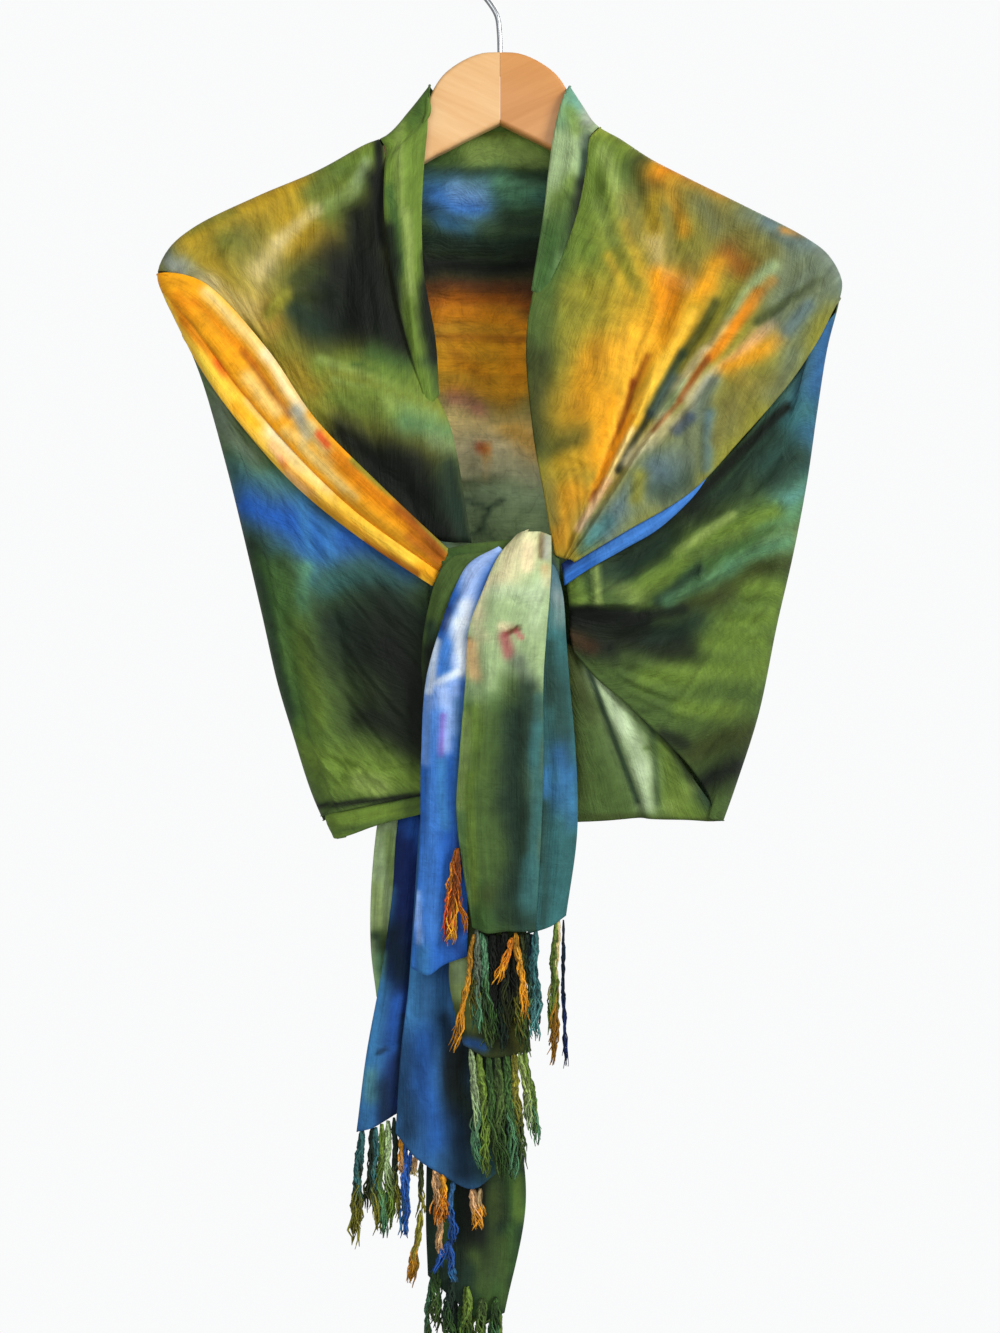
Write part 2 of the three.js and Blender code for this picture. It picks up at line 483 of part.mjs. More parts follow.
// ---------------------------------------------------------------- right front
function addRightFront() {
  addCloth("right_collar_band", [
    [rimPoint("right", 23), [44, 28, 0], [41.2, 37, 0], [36.5, 57, 0.5], [33, 82, 1], [30, 108, 1.2],
      [26.5, 140, 1.4]],
    [...fromRim("right", 32), [45, 62, 2.5], [41.5, 86, 3], [37.5, 112, 3], [32.5, 141, 2.4]],
    [...fromRim("right", 40), [51.5, 68, 3.2], [48, 91, 3.6], [43, 115, 3.6], [38, 142, 2.4]],
    [...fromRim("right", 48.5), [57.5, 74, 1.6], [54, 96, 1.6], [49, 118, 1.6], [43, 143, 1.6]],
  ], { between: 2 });

  // A fan of pleats from the shoulder to the knot, neck edge first and side edge last.
  addCloth("right_front_upper", [
    [...fromRim("right", 51), [52, 95, -2.4], [34, 136, -2.2], [18.5, 195, 0], [22, 252, 0],
      [30, 300, 1.2], [36.5, 337, 2.4]],
    [...fromRim("right", 59), [70, 105, 0.5], [57, 150, 0], [44, 205, 0], [40, 258, 0.5],
      [38.5, 302, 2], [38, 337.5, 2.4]],
    [...fromRim("right", 73), [93, 108, -0.6], [82, 155, 2], [70, 210, 2], [58, 262, 2], [47, 304, 2.4],
      [39.5, 338, 2.4]],
    [...fromRim("right", 89), [121, 126, 0], [106, 170, -1], [88, 222, -2], [72, 270, -1.2],
      [53, 308, 0.4], [41, 338, 1.6]],
    [...fromRim("right", 100), [139, 136, 1], [122, 178, 2], [97, 230, 4], [76, 273, 4], [56, 312, 4],
      [42.5, 338.4, 3]],
    [...fromRim("right", 111), [157, 146, -0.6], [137, 182, -1.2], [107, 233, -2], [81, 278, -1.6],
      [58.5, 315, -0.6], [43.7, 338.8, 1]],
    [...fromRim("right", 121), [177, 152, 2], [150, 187, 3], [119, 232, 4], [88, 275, 4], [61, 317, 3],
      [44.8, 339, 2.4]],
    [...fromRim("right", 131), [189, 158, 0], [161, 190, -0.6], [126, 235, -0.8], [93, 278, -0.6],
      [65, 319, 0.4], [45.6, 339.3, 1.4]],
    [...fromRim("right", 144), [198, 166, 2], [171, 196, 2.5], [134, 239, 3], [99, 281, 2.5],
      [69, 321, 2], [46.2, 339.6, 1.6]],
    [rimPoint("right", 158), [219.6, 161.5, 0], [214, 168.5, 0.2], [203, 182, 0.4], [180, 210, 1],
      [146, 249, 1], [112, 285, 0.6], [76, 319, 0.6], [46.8, 340, 1.2]],
    [rimPoint("right", 169), [218.6, 173.4, 0.2], [214.2, 181, 0.4], [205.4, 197.4, 0.8], [188, 223, 1],
      [157, 259, 1], [124, 294, 1], [82, 320, 1], [47.4, 340.5, 1.2]],
  ], { finish: "leaf" });

  // The rolled edge that shows below the fan.
  addCloth("right_edge_band", [
    [[118, 289, -2.6], [98, 303, -2.7], [75, 317, -2.7], [52, 333, -2.6], [40, 342, -2.4]],
    [[122.5, 297.5, -1.8], [101, 311, -1.6], [79, 324.6, -1.4], [56, 338.6, -1.4], [40.8, 347.4, -1.2]],
    [[123.5, 300, 0.2], [102, 314, 0.8], [80, 327.6, 1], [57, 341.2, 1], [41.2, 350.6, 0.8]],
    [[124, 303, -0.8], [103, 318, -0.8], [81, 331, -0.8], [58, 344, -0.8], [41.8, 355, -0.6]],
  ], { finish: "blue", along: 2 });

  // Below the knot: soft swags from the side fold to the knot, the last line its free edge.
  addCloth("right_front_lower", [
    [rimPoint("right", 178), [216.4, 183, -1.8], [208.5, 192.5, -3.2], [194, 211, -4.4],
      [178, 236, -4.4], [148, 271, -4.8], [110, 302, -6.4], [76, 326, -6.6], [43, 350, -6.2]],
    [...fromRim("right", 206), [193, 228, -2.4], [175, 251, -2.6], [147, 285, -3.2], [110, 315, -4.8],
      [77, 337, -4.8], [43.5, 357, -4.6]],
    [...fromRim("right", 240), [184, 262, 0], [164, 286, 0], [138, 311, 1], [106, 334, 0], [77, 350, 0],
      [44, 362, -1]],
    [...fromRim("right", 273), [179, 292, 1], [160, 308, 2], [135, 328, 5], [105, 347, 6], [76, 361, 6],
      [44.5, 366, 3]],
    [...fromRim("right", 300), [177, 312, 0], [158, 322, 1], [133, 338, 3], [107, 357, 3], [78, 371, 3],
      [44.8, 371, 1]],
    [...fromRim("right", 318), [172, 326, 2], [150, 340, 2.5], [129, 352, 2], [106, 367, -1],
      [75, 378, -2.4], [45, 376, -3]],
    [...fromRim("right", 336), [168, 341, 0], [150, 350, 1], [130, 361, 1], [108, 374, -1],
      [75, 385, -3], [45.2, 381, -3]],
    [...fromRim("right", 366), [162, 370, -1], [146, 378, -1], [124, 388, -2], [100, 393, -3],
      [72, 395, -3], [45.5, 386, -3]],
    [...fromRim("right", 400), [156, 403, 1], [141, 405, 1], [121, 409, 0], [97, 410, 0], [70, 405, -1],
      [46, 390, -2]],
    [...fromRim("right", 440), [150, 442, 1], [137, 441, 1], [117, 436, 0.5], [92, 425, 0],
      [68, 411, -1], [46.5, 393, -2]],
    [...fromRim("right", 474), [140, 474, 0], [130, 464, 0], [111, 450, 0], [88, 431, 0], [66, 414, -1],
      [47, 395, -2]],
    [...fromRim("right", 500), [134.5, 487, -0.5], [124, 472, 0], [105, 453, 0], [84, 433, 0],
      [64, 416, -0.5], [47.5, 398, -2]],
  ], { finish: "moss" });

  // The second layer of the fold, which shows below that free edge down to the hem.
  addCloth("right_inner_layer", [
    [[32, 388, -5.6], [34, 425, -5.2], [36, 468, -4.6], [38, 510, -4.2]],
    [[44, 394, -4.6], [52, 430, -3.6], [62, 470, -3.6], [71, 508.5, -3.6]],
    [[50, 396, -5.6], [62, 430, -5.6], [77, 464, -5.6], [92, 507, -5.6]],
    [[55, 398, -4.6], [69, 433, -2.2], [84, 466, -1.6], [97, 507.5, -2.6]],
    [[60, 402, -5], [83, 438, -4.1], [98, 467, -4.1], [104, 508, -4.6]],
    [[66, 407, -5.6], [96, 447, -3.6], [115, 474, -2.6], [122, 509, -3]],
    [[72, 412, -4.6], [108, 455, -2.6], [127, 483, -2], [139, 509.5, -1.6]],
  ], { finish: "pale", along: 2 });
}

// ---------------------------------------------------------------- knot and tails
// From here on the fold lines are [across, drop, out], each from the knot downwards.
function addKnot() {
  addCloth("knot_core", [
    [[-33, 335.5, 40.5], [-37.8, 345, 41], [-42.8, 356, 40]],
    [[-16, 330, 44], [-16, 345, 47], [-16, 361, 44]],
    [[10, 326, 45], [10, 344, 49], [10, 362, 45]],
    [[35.8, 339, 41], [37.6, 347, 41.5], [39.5, 356, 40]],
  ], { place: hanging, thick: 13, along: 2, between: 2 });
  addCloth("knot_wrap", [
    [[-8, 336, 48.9], [-30, 339, 47.3], [-39, 350, 46.9], [-46, 372, 42.3], [-50, 400, 38.7],
      [-49, 430, 37.3]],
    [[-6, 342, 50.7], [-24, 346, 50.8], [-33, 358, 49.3], [-41, 378, 45.3], [-46, 402, 41.3],
      [-46, 430, 38.8]],
    [[-2, 350, 51.3], [-14, 355, 50.3], [-24, 368, 47.3], [-34, 386, 42.8], [-40, 405, 39.8],
      [-42, 430, 37.8]],
  ], { place: hanging, between: 2 });
}

function addTails() {
  addCloth("blue_tail", [
    [[0, 332, 52], [-19, 343, 53.4], [-28, 358, 51.8], [-38, 385, 47], [-47, 418, 43], [-50, 465, 41],
      [-51, 525, 39.5], [-57, 605, 38]],
    [[4, 336, 54], [-14, 348, 56], [-22, 364, 54.5], [-32, 390, 50.5], [-40, 422, 47], [-42, 465, 45],
      [-43, 525, 44], [-47, 609, 41.5]],
    [[7, 341, 53.5], [-8, 355, 55], [-16, 370, 53.5], [-26, 394, 49.5], [-32, 424, 46],
      [-33, 465, 43.5], [-33, 525, 42.5], [-36, 602, 40.5]],
    [[9, 347, 53], [-2, 360, 54], [-9, 375, 51.5], [-17, 398, 47.5], [-20, 426, 44], [-22, 465, 42],
      [-22, 525, 41], [-22, 597, 40]],
  ], { place: hanging, finish: "blue" });
  addCloth("front_tail", [
    [[12, 323, 51.5], [0, 338, 57], [-10, 360, 57.5], [-19, 385, 54.1], [-21, 415, 49.5], [-25, 465, 46.5],
      [-27, 505, 45.5], [-17, 578, 43.5]],
    [[15, 322, 55], [8, 338, 61], [0, 360, 62], [-8, 385, 60], [-12, 415, 56], [-16, 465, 52.5],
      [-17, 505, 51], [-8, 581, 48]],
    [[20, 322, 54.5], [16, 338, 60], [12, 360, 61], [6, 385, 59], [3, 415, 54], [2, 465, 49],
      [2, 505, 47], [4, 580, 45]],
    [[26, 322, 53.5], [25, 338, 58], [22, 360, 59], [19, 385, 57.5], [17, 415, 54], [17, 465, 51.5],
      [17, 505, 50], [14, 580, 47]],
    [[32, 324, 51], [32, 340, 54], [31, 360, 55], [29, 385, 53], [27, 415, 50], [27, 465, 48],
      [26, 505, 47], [22, 580, 45]],
  ], { place: hanging, finish: "pale" });
  addCloth("front_tail_side", [
    [[29, 343, 52], [28, 362, 52.4], [26, 385, 50.2], [24, 415, 47.4], [24, 465, 45.4], [23, 515, 44.2],
      [19, 579, 42.6]],
    [[34, 343, 50.5], [35, 362, 51], [35, 385, 49.5], [36, 415, 47], [38, 465, 46], [38, 515, 45],
      [33, 577, 43]],
    [[36.5, 346, 47], [40, 364, 47], [42, 390, 45.5], [44, 418, 43], [48, 465, 42], [49, 515, 41.5],
      [42, 571, 40]],
  ], { place: hanging, finish: "teal", between: 2 });
  addCloth("middle_tail", [
    [[-12, 362.4, 44], [-12, 420, 40], [-18, 520, 36], [-24, 600, 34], [-24, 656, 33]],
    [[4, 362.9, 44], [2, 420, 41], [-4, 520, 39], [-8, 600, 37], [-8, 663, 36]],
    [[22, 362, 43], [20, 420, 40], [16, 520, 36], [16, 600, 34], [19, 660, 33]],
  ], { place: hanging, finish: "moss", between: 2 });
  // The folds of the other end hang inside the left front and come out below its hem.
  addCloth("long_blue_tail", [
    [[-18, 362.5, 40], [-34, 430, 27], [-50, 500, 22], [-55, 560, 22], [-59, 620, 23], [-64, 660, 23],
      [-68, 716, 22]],
    [[-8, 362.8, 40], [-26, 430, 28], [-43, 500, 24], [-48, 560, 25], [-52, 620, 27], [-54, 670, 27],
      [-56, 730, 26]],
    [[2, 363, 40], [-16, 430, 28], [-34, 500, 23], [-38, 560, 23], [-42, 620, 24], [-42, 680, 25],
      [-40, 741, 24]],
    [[12, 363, 40], [-4, 430, 27], [-22, 500, 21], [-28, 560, 21], [-33, 620, 22], [-24, 690, 23],
      [-18, 752, 22]],
    [[20, 362.8, 40], [6, 430, 26], [-12, 500, 20], [-20, 560, 19], [-26, 620, 19], [-16, 690, 19],
      [-3, 743, 18]],
  ], { place: hanging, finish: "blue" });
  addCloth("navy_tail", [
    [[-24, 361.4, 37], [-46, 430, 20], [-66, 510, 17], [-70, 560, 17], [-78, 615, 18], [-87, 665, 19],
      [-93.5, 715, 18]],
    [[-14, 362.6, 37], [-38, 430, 21], [-59, 510, 19], [-64, 560, 20], [-71, 620, 22], [-79, 665, 23],
      [-84, 712, 22]],
    [[-4, 363, 37], [-28, 430, 20], [-49, 507, 17], [-55, 560, 17], [-60, 620, 18], [-64, 665, 18],
      [-69, 704, 17]],
  ], { place: hanging, finish: "blue", between: 2 });
  addCloth("pale_tail", [
    [[-30, 359.2, 34], [-58, 430, 16], [-76, 490, 13], [-83, 540, 13], [-84.5, 590, 13],
      [-81, 628, 12]],
    [[-20, 361.4, 34], [-50, 430, 17.5], [-69, 490, 16], [-76, 540, 16], [-79.5, 590, 15.6],
      [-77, 632, 14.5]],
    [[-10, 362.8, 34], [-40, 430, 16], [-61, 490, 13], [-68, 540, 13], [-74, 590, 12.5],
      [-72, 632, 12]],
  ], { place: hanging, finish: "pale", between: 2 });
  addCloth("long_green_tail", [
    [[-12, 362.8, 31], [-28, 430, 16], [-40, 520, 10], [-40, 620, 9], [-46, 700, 9], [-48, 770, 9],
      [-47, 813, 9]],
    [[0, 363, 31], [-16, 430, 17], [-28, 520, 12], [-27, 620, 12], [-27, 700, 13], [-28, 770, 13],
      [-29, 829, 12]],
    [[12, 363, 31], [-4, 430, 16], [-14, 520, 9], [-10, 620, 9], [-6, 700, 9], [-5, 770, 10],
      [-12, 842, 10]],
    [[24, 361.4, 31], [8, 430, 14], [0, 520, 6], [4, 620, 5], [10, 700, 6], [16, 765, 7], [2, 838, 7]],
  ], { place: hanging, finish: "moss" });
}

// ---------------------------------------------------------------- fringe
// Each fringe is a plain pad as wide and as long as its yarns reach: its upper line follows the
// hem and its lower line their ends. Columns: across, drop, out.
const FRINGE_THICK = 5;
function addFringe() {
  const pads = {
    fringe_front: [
      [[-16.5, 579.5, 45], [-8, 582.5, 47.5], [4, 581.5, 46.5], [14, 581.5, 46.5], [22, 581.5, 46],
        [42, 573, 43]],
      [[-23, 620, 44], [-10, 620, 45.5], [4, 620, 45.5], [16, 620, 45.5], [26, 620, 45], [43, 620, 43]],
      [[-31, 660, 42.5], [-14, 656, 43.5], [2, 654, 44], [16, 656, 44], [26, 662, 43.5], [43, 671, 42]],
    ],
    fringe_tuft: [
      [[-30, 526, 48.5], [-29, 526, 49], [-28.2, 526, 48.5]],
      [[-36, 560, 48], [-30, 560, 49.5], [-23.5, 560, 48.5]],
      [[-41, 591, 47], [-32, 593, 48], [-22, 589, 47]],
    ],
    fringe_middle: [
      [[-24, 656.8, 36], [-8, 663.6, 38.6], [19, 660.6, 36]],
      [[-20, 700, 35.5], [0, 700, 37.5], [24, 700, 35.5]],
      [[-12, 744, 34], [4, 748, 35], [27, 722, 34]],
    ],
    fringe_left: [
      [[-93.5, 716, 20], [-84, 713, 23.5], [-69, 705, 19]],
      [[-99, 752, 19.5], [-84, 750, 21], [-67, 750, 19]],
      [[-99, 792, 18.5], [-84, 786, 19.5], [-62, 786, 18.5]],
    ],
    fringe_long: [
      [[-68, 716.8, 23.5], [-56, 730.8, 27.5], [-40, 741.8, 25.6], [-18, 752.8, 23.5], [-4, 744, 20]],
      [[-63, 760, 23], [-52, 764, 25], [-38, 768, 25], [-20, 768, 23.5], [-9, 762, 21]],
      [[-60, 802, 22], [-48, 808, 23.5], [-34, 812, 23.5], [-22, 790, 22], [-12, 782, 20]],
    ],
    fringe_bottom: [
      [[-47, 813.8, 10], [-29, 829.8, 13], [-12, 842.8, 11.5], [2, 838.8, 8.6]],
      [[-51, 845, 10], [-30, 852, 12], [-12, 858, 11], [2, 858, 8.6]],
      [[-54, 876, 9], [-30, 881, 11], [-12, 881, 10], [1, 878, 8]],
    ],
  };
  Object.entries(pads).forEach(([name, lines]) => {
    addCloth(name, lines, { place: hanging, finish: "yarn", thick: FRINGE_THICK, along: 2, between: 2 });
  });
}

addHanger();
addBack();
addLeftFront();
addRightFront();
addKnot();
addTails();
addFringe();

export default sarong;
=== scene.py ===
import math

import bpy
import numpy as np
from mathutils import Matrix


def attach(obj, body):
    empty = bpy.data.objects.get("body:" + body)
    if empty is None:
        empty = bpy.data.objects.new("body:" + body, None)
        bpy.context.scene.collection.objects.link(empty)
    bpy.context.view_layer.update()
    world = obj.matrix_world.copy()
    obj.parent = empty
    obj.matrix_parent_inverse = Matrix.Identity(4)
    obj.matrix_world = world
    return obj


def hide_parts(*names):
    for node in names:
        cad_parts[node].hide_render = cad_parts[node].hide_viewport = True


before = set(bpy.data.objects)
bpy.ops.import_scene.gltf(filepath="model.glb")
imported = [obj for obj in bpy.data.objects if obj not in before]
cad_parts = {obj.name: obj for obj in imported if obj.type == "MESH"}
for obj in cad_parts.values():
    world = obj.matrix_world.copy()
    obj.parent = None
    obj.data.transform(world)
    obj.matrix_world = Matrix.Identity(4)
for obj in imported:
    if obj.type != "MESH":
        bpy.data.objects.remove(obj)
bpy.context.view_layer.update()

# ---------------------------------------------------------------------------------------------
# The two arms of the hanger: planks of pale varnished beech, cut to a curve, eased along their
# long edges and mitred together in the middle. The left board is painted paler, as painted
# light, and the right one darker, as painted shade, for how each turns to the main light. They
# carry everything, and the cloth hides all but their middle.
WOOD_TOP = -76.0  # height of the wood's top below the hook's bearing point, in millimetres
WOOD_THICK = 12.0
WOOD_EASE = 3.0
ARM_REACH = 220.0
ARM_SWEEP = 35.0
ARM_STEPS = 3  # cuts from one row of the table to the next


def table(written):
    """The rows of a written table, parted by commas: numbers as numbers, words as they are."""
    return [[word if word.isalpha() else float(word) for word in row.split()]
            for row in written.split(",") if row.strip()]


# across, drop of the upper edge, drop of the lower edge
ARM = table("""
    .1 0 47.5, 12 .8 53.5, 24 5.5 59.5, 36 14 66, 42 21.5 69, 47 31 72, 60 51.6 79.5, 78 64 88.5,
    100 77.5 99.5, 150 105.5 126, 195 131.5 149, 216 149 159""")


def shade_of(code):
    """The red, green and blue of a six-letter colour code, from 0 to 1."""
    return np.array([int(code[place:place + 2], 16) / 255 for place in (0, 2, 4)])


def as_light(shade):
    return np.where(shade <= 0.04045, shade / 12.92, ((shade + 0.055) / 1.055) ** 2.4)


def colour(code):
    return (*as_light(shade_of(code)), 1)


def through(rows, counts, dense_start=False, dense_end=False):
    """Smooth curves through rows of points, with counts of steps from each row to the next."""
    rows = np.asarray(rows, float)
    ends = np.concatenate([[2 * rows[0] - rows[1]], rows, [2 * rows[-1] - rows[-2]]])
    pieces = []
    for index, count in enumerate(counts):
        p0, p1, p2, p3 = ends[index:index + 4]
        gaps = [np.sum((b - a) ** 2, axis=-1, keepdims=True) ** 0.25
                for a, b in ((p0, p1), (p1, p2), (p2, p3))]
        d1 = np.where(gaps[1] < 1e-4, 1.0, gaps[1])
        d0 = np.where(gaps[0] < 1e-4, d1, gaps[0])
        d2 = np.where(gaps[2] < 1e-4, d1, gaps[2])
        t1 = ((p1 - p0) / d0 - (p2 - p0) / (d0 + d1) + (p2 - p1) / d1) * d1
        t2 = ((p2 - p1) / d1 - (p3 - p1) / (d1 + d2) + (p3 - p2) / d2) * d1
        part = np.arange(count) / count
        if dense_start and index == 0:
            part = part ** 2
        if dense_end and index == len(counts) - 1:
            part = 1 - (1 - part) ** 2
        part = part.reshape((-1,) + (1,) * (rows.ndim - 1))
        cubic = 2 * (p1 - p2) + t1 + t2
        pieces.append(p1 + t1 * part + (3 * (p2 - p1) - 2 * t1 - t2) * part ** 2 + cubic * part ** 3)
    return np.concatenate(pieces + [rows[-1:]])


def start_clean():
    if bpy.context.object and bpy.context.object.mode != "OBJECT":
        bpy.ops.object.mode_set(mode="OBJECT")
    bpy.ops.object.select_all(action="DESELECT")


def cut_arm(name, side):
    """A board started as its mitred end face and drawn out section by section to the tip."""
    stops = through(ARM, [ARM_STEPS] * (len(ARM) - 1))
    across, top, bottom = stops.T
    place = np.stack([side * across, -ARM_SWEEP * (across / ARM_REACH) ** 1.6,
                      WOOD_TOP - (top + bottom) / 2], axis=1) / 1000
    height = (bottom - top) / 1000
    start_clean()
    bpy.ops.mesh.primitive_plane_add(size=1, location=place[0], rotation=(0, math.pi / 2, 0))
    arm = bpy.context.object
    arm.name = arm.data.name = name
    arm.scale = (height[0], WOOD_THICK / 1000, 1)
    bpy.ops.object.transform_apply(location=True, rotation=True, scale=True)
    bpy.ops.object.mode_set(mode="EDIT")
    bpy.ops.mesh.select_all(action="SELECT")
    for index in range(1, len(stops)):
        step = place[index] - place[index - 1]
        bpy.ops.mesh.extrude_region_move(TRANSFORM_OT_translate={"value": tuple(step)})
        bpy.ops.transform.resize(value=(1, 1, height[index] / height[index - 1]),
                                 center_override=tuple(place[index]))
    bpy.ops.mesh.select_all(action="SELECT")
    bpy.ops.mesh.normals_make_consistent(inside=False)
    bpy.ops.mesh.select_all(action="DESELECT")
    bpy.ops.mesh.select_mode(type="EDGE")
    bpy.ops.object.mode_set(mode="OBJECT")
    tip = place[-1, 0]
    for edge in arm.data.edges:
        first, second = (arm.data.vertices[corner].co for corner in edge.vertices)
        at_tip = abs(first.x - tip) < 1e-5 and abs(second.x - tip) < 1e-5
        edge.select = bool(abs(first.x - second.x) > 1e-4 or at_tip)
    bpy.ops.object.mode_set(mode="EDIT")
    bpy.ops.mesh.bevel(offset=WOOD_EASE / 1000, segments=4, affect="EDGES", clamp_overlap=True)
    bpy.ops.object.mode_set(mode="OBJECT")
    bpy.ops.object.shade_smooth_by_angle(angle=math.radians(35))
    return arm


def new_material(name, roughness, metallic=0.0, specular=0.5):
    material = bpy.data.materials.new(name)
    material.use_nodes = True
    shader = material.node_tree.nodes["Principled BSDF"]
    shader.inputs["Roughness"].default_value = roughness
    shader.inputs["Metallic"].default_value = metallic
    shader.inputs["Specular IOR Level"].default_value = specular
    return material, material.node_tree, shader


def add_node(tree, kind, settings=(), **inputs):
    """A node with its settings and its inputs, each a value or another node's output."""
    node = tree.nodes.new("ShaderNode" + kind)
    for key, value in dict(settings).items():
        setattr(node, key, value)
    for key, value in inputs.items():
        place = node.inputs[int(key[1:]) if key[1:].isdigit() else key.replace("_", " ")]
        if isinstance(value, bpy.types.NodeSocket):
            tree.links.new(value, place)
        else:
            place.default_value = value
    return node


def new_group(name, takes, gives):
    """An empty node group; takes and gives are (name, kind) rows, kind Float, Color or Vector."""
    group = bpy.data.node_groups.new(name, "ShaderNodeTree")
    for direction, rows in (("INPUT", takes), ("OUTPUT", gives)):
        for label, kind in rows:
            group.interface.new_socket(label, in_out=direction, socket_type="NodeSocket" + kind)
    return group, group.nodes.new("NodeGroupInput"), group.nodes.new("NodeGroupOutput")


# Grain: long fine lines along the board, broad darker bands, and a few flecks.
grain, grain_in, grain_out = new_group(
    "beech_grain", [("Pale", "Color"), ("Dark", "Color"), ("Turn", "Float")],
    [("Color", "Color"), ("Height", "Float")])
place = add_node(grain, "TexCoord")
turned = add_node(grain, "VectorRotate", {"rotation_type": "Y_AXIS"}, Vector=place.outputs["Object"],
                  Angle=grain_in.outputs["Turn"])
stretched = add_node(grain, "Mapping", Vector=turned.outputs[0], Scale=(9, 160, 190))
lines = add_node(grain, "TexNoise", Vector=stretched.outputs[0], Scale=1.6, Detail=5.0, Roughness=0.6)
wide = add_node(grain, "Mapping", Vector=turned.outputs[0], Scale=(4, 30, 34))
bands = add_node(grain, "TexNoise", Vector=wide.outputs[0], Scale=1.1, Detail=2.0, Roughness=0.5)
both = add_node(grain, "Math", {"operation": "MULTIPLY_ADD"}, _0=lines.outputs[0], _1=0.6,
                _2=bands.outputs[0])
strength = add_node(grain, "MapRange", Value=both.outputs[0], From_Min=0.55, From_Max=1.05)
tone = add_node(grain, "Mix", {"data_type": "RGBA"}, _0=strength.outputs[0],
                _6=grain_in.outputs["Pale"], _7=grain_in.outputs["Dark"])
grain.links.new(tone.outputs[2], grain_out.inputs["Color"])
grain.links.new(lines.outputs[0], grain_out.inputs["Height"])

# One beech for both boards: each pair of colours is its grain, and the right pair is painted darker than the
# left, painted shade for the board turned from the main light.
for name, side, pale, dark in (("hanger_arm_left", -1, "eec38b", "dca669"),
                               ("hanger_arm_right", 1, "dc9c5a", "c98643")):
    arm = cut_arm(name + "_board", side)
    wood, tree, shader = new_material(name + "_beech", 0.42)
    shader.inputs["Coat Weight"].default_value = 0.15
    shader.inputs["Coat Roughness"].default_value = 0.3
    board = add_node(tree, "Group", {"node_tree": grain}, Pale=colour(pale),
                     Dark=colour(dark), Turn=side * 0.42)
    tree.links.new(board.outputs["Color"], shader.inputs["Base Color"])
    bump = add_node(tree, "Bump", Height=board.outputs["Height"], Strength=0.12, Distance=0.0004)
    tree.links.new(bump.outputs[0], shader.inputs["Normal"])
    arm.data.materials.append(wood)
    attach(arm, "root")
    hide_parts(name)

# ---------------------------------------------------------------------------------------------
# The hook: one length of zinc-plated steel wire, pushed into the mitre, bent to the left, and
# rolled over the rail to a rounded open tip.
WIRE = 3.6
HOOK_INSIDE = 19.2
stem = [[0, 0, WOOD_TOP - 15], [0, 0, WOOD_TOP - 4], [-0.4, 0, WOOD_TOP + 14],
        [-2, 0, WOOD_TOP + 25], [-8, 0, WOOD_TOP + 35]]
bend = np.radians(212 - 240 * np.arange(13) / 12)
ring = [[(HOOK_INSIDE + WIRE / 2) * math.cos(turn), 0,
         (HOOK_INSIDE + WIRE / 2) * math.sin(turn) - HOOK_INSIDE] for turn in bend]
route = through(stem + ring, [7] * (len(stem) + 12)) / 1000
start_clean()
bpy.ops.curve.primitive_nurbs_path_add()
hook = bpy.context.object
hook.name = hook.data.name = "hook_wire"
hook.data.splines.clear()
wire = hook.data.splines.new("POLY")
wire.points.add(len(route) - 1)
left_over = np.minimum(1, np.arange(len(route))[::-1] / 4)
for point, spot, left in zip(wire.points, route, left_over):
    point.co = (*spot, 1)
    point.radius = math.sqrt(1 - (1 - left) ** 2) if left < 1 else 1
hook.data.bevel_depth = WIRE / 2000
hook.data.bevel_resolution = 5
hook.data.use_fill_caps = True
bpy.ops.object.convert(target="MESH")
hook = bpy.context.object
bpy.ops.object.mode_set(mode="EDIT")
bpy.ops.mesh.select_all(action="SELECT")
bpy.ops.mesh.remove_doubles(threshold=0.00002)
bpy.ops.mesh.normals_make_consistent(inside=False)
bpy.ops.object.mode_set(mode="OBJECT")
bpy.ops.object.shade_smooth()
steel, tree, shader = new_material("hook_zinc", 0.24, metallic=1.0)
place = add_node(tree, "TexCoord")
dulling = add_node(tree, "TexNoise", Vector=place.outputs["Object"], Scale=160.0, Detail=4.0)
shade = add_node(tree, "Mix", {"data_type": "RGBA"}, _0=dulling.outputs[0],
                 _6=colour("c9ccce"), _7=colour("a4a8ab"))
rough = add_node(tree, "MapRange", Value=dulling.outputs[0], To_Min=0.16, To_Max=0.34)
tree.links.new(shade.outputs[2], shader.inputs["Base Color"])
tree.links.new(rough.outputs[0], shader.inputs["Roughness"])
hook.data.materials.append(steel)
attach(hook, "root")
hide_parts("hanger_hook")

# ---------------------------------------------------------------------------------------------
# The back of the sarong: one sheet of fine rayon, folded in half along its length with the fold
# at the neck, laid over the wood and hanging down behind it. The same sheet makes the fronts,
# so the drape, the dyeing with the painted shade and highlights laid among the dyes, and the
# cloth's own finish are worked out here for all of it.

# Outline from the front: across, drop and out, from the neck over the tip to below the hem.
OUTLINE = {
    "left": table("""
        -46 21 3, -60 39 4, -75 56 6, -90 63 8, -120 81 13, -160 100 21, -200 122 30, -216 137 34,
        -223 154 35, -219 168 34, -206 194 30, -195 222 27, -180 276 22, -169 322 18, -157 375 14,
        -147 420 12, -137 454 10, -125 492 9, -112 522 8, -95 560 7"""),
    "right": table("""
        46 22 3, 55 36 4, 64 49 5, 80 59 7, 100 73 10, 125 87 14, 160 106 21, 200 129 30, 214 141 34,
        222.5 158 35, 221 171 34, 214 200 30, 208 240 26, 202 285 22, 193 335 18, 183 380 15, 171 440 12,
        157 485 10, 149 508 9, 135 545 8"""),
}
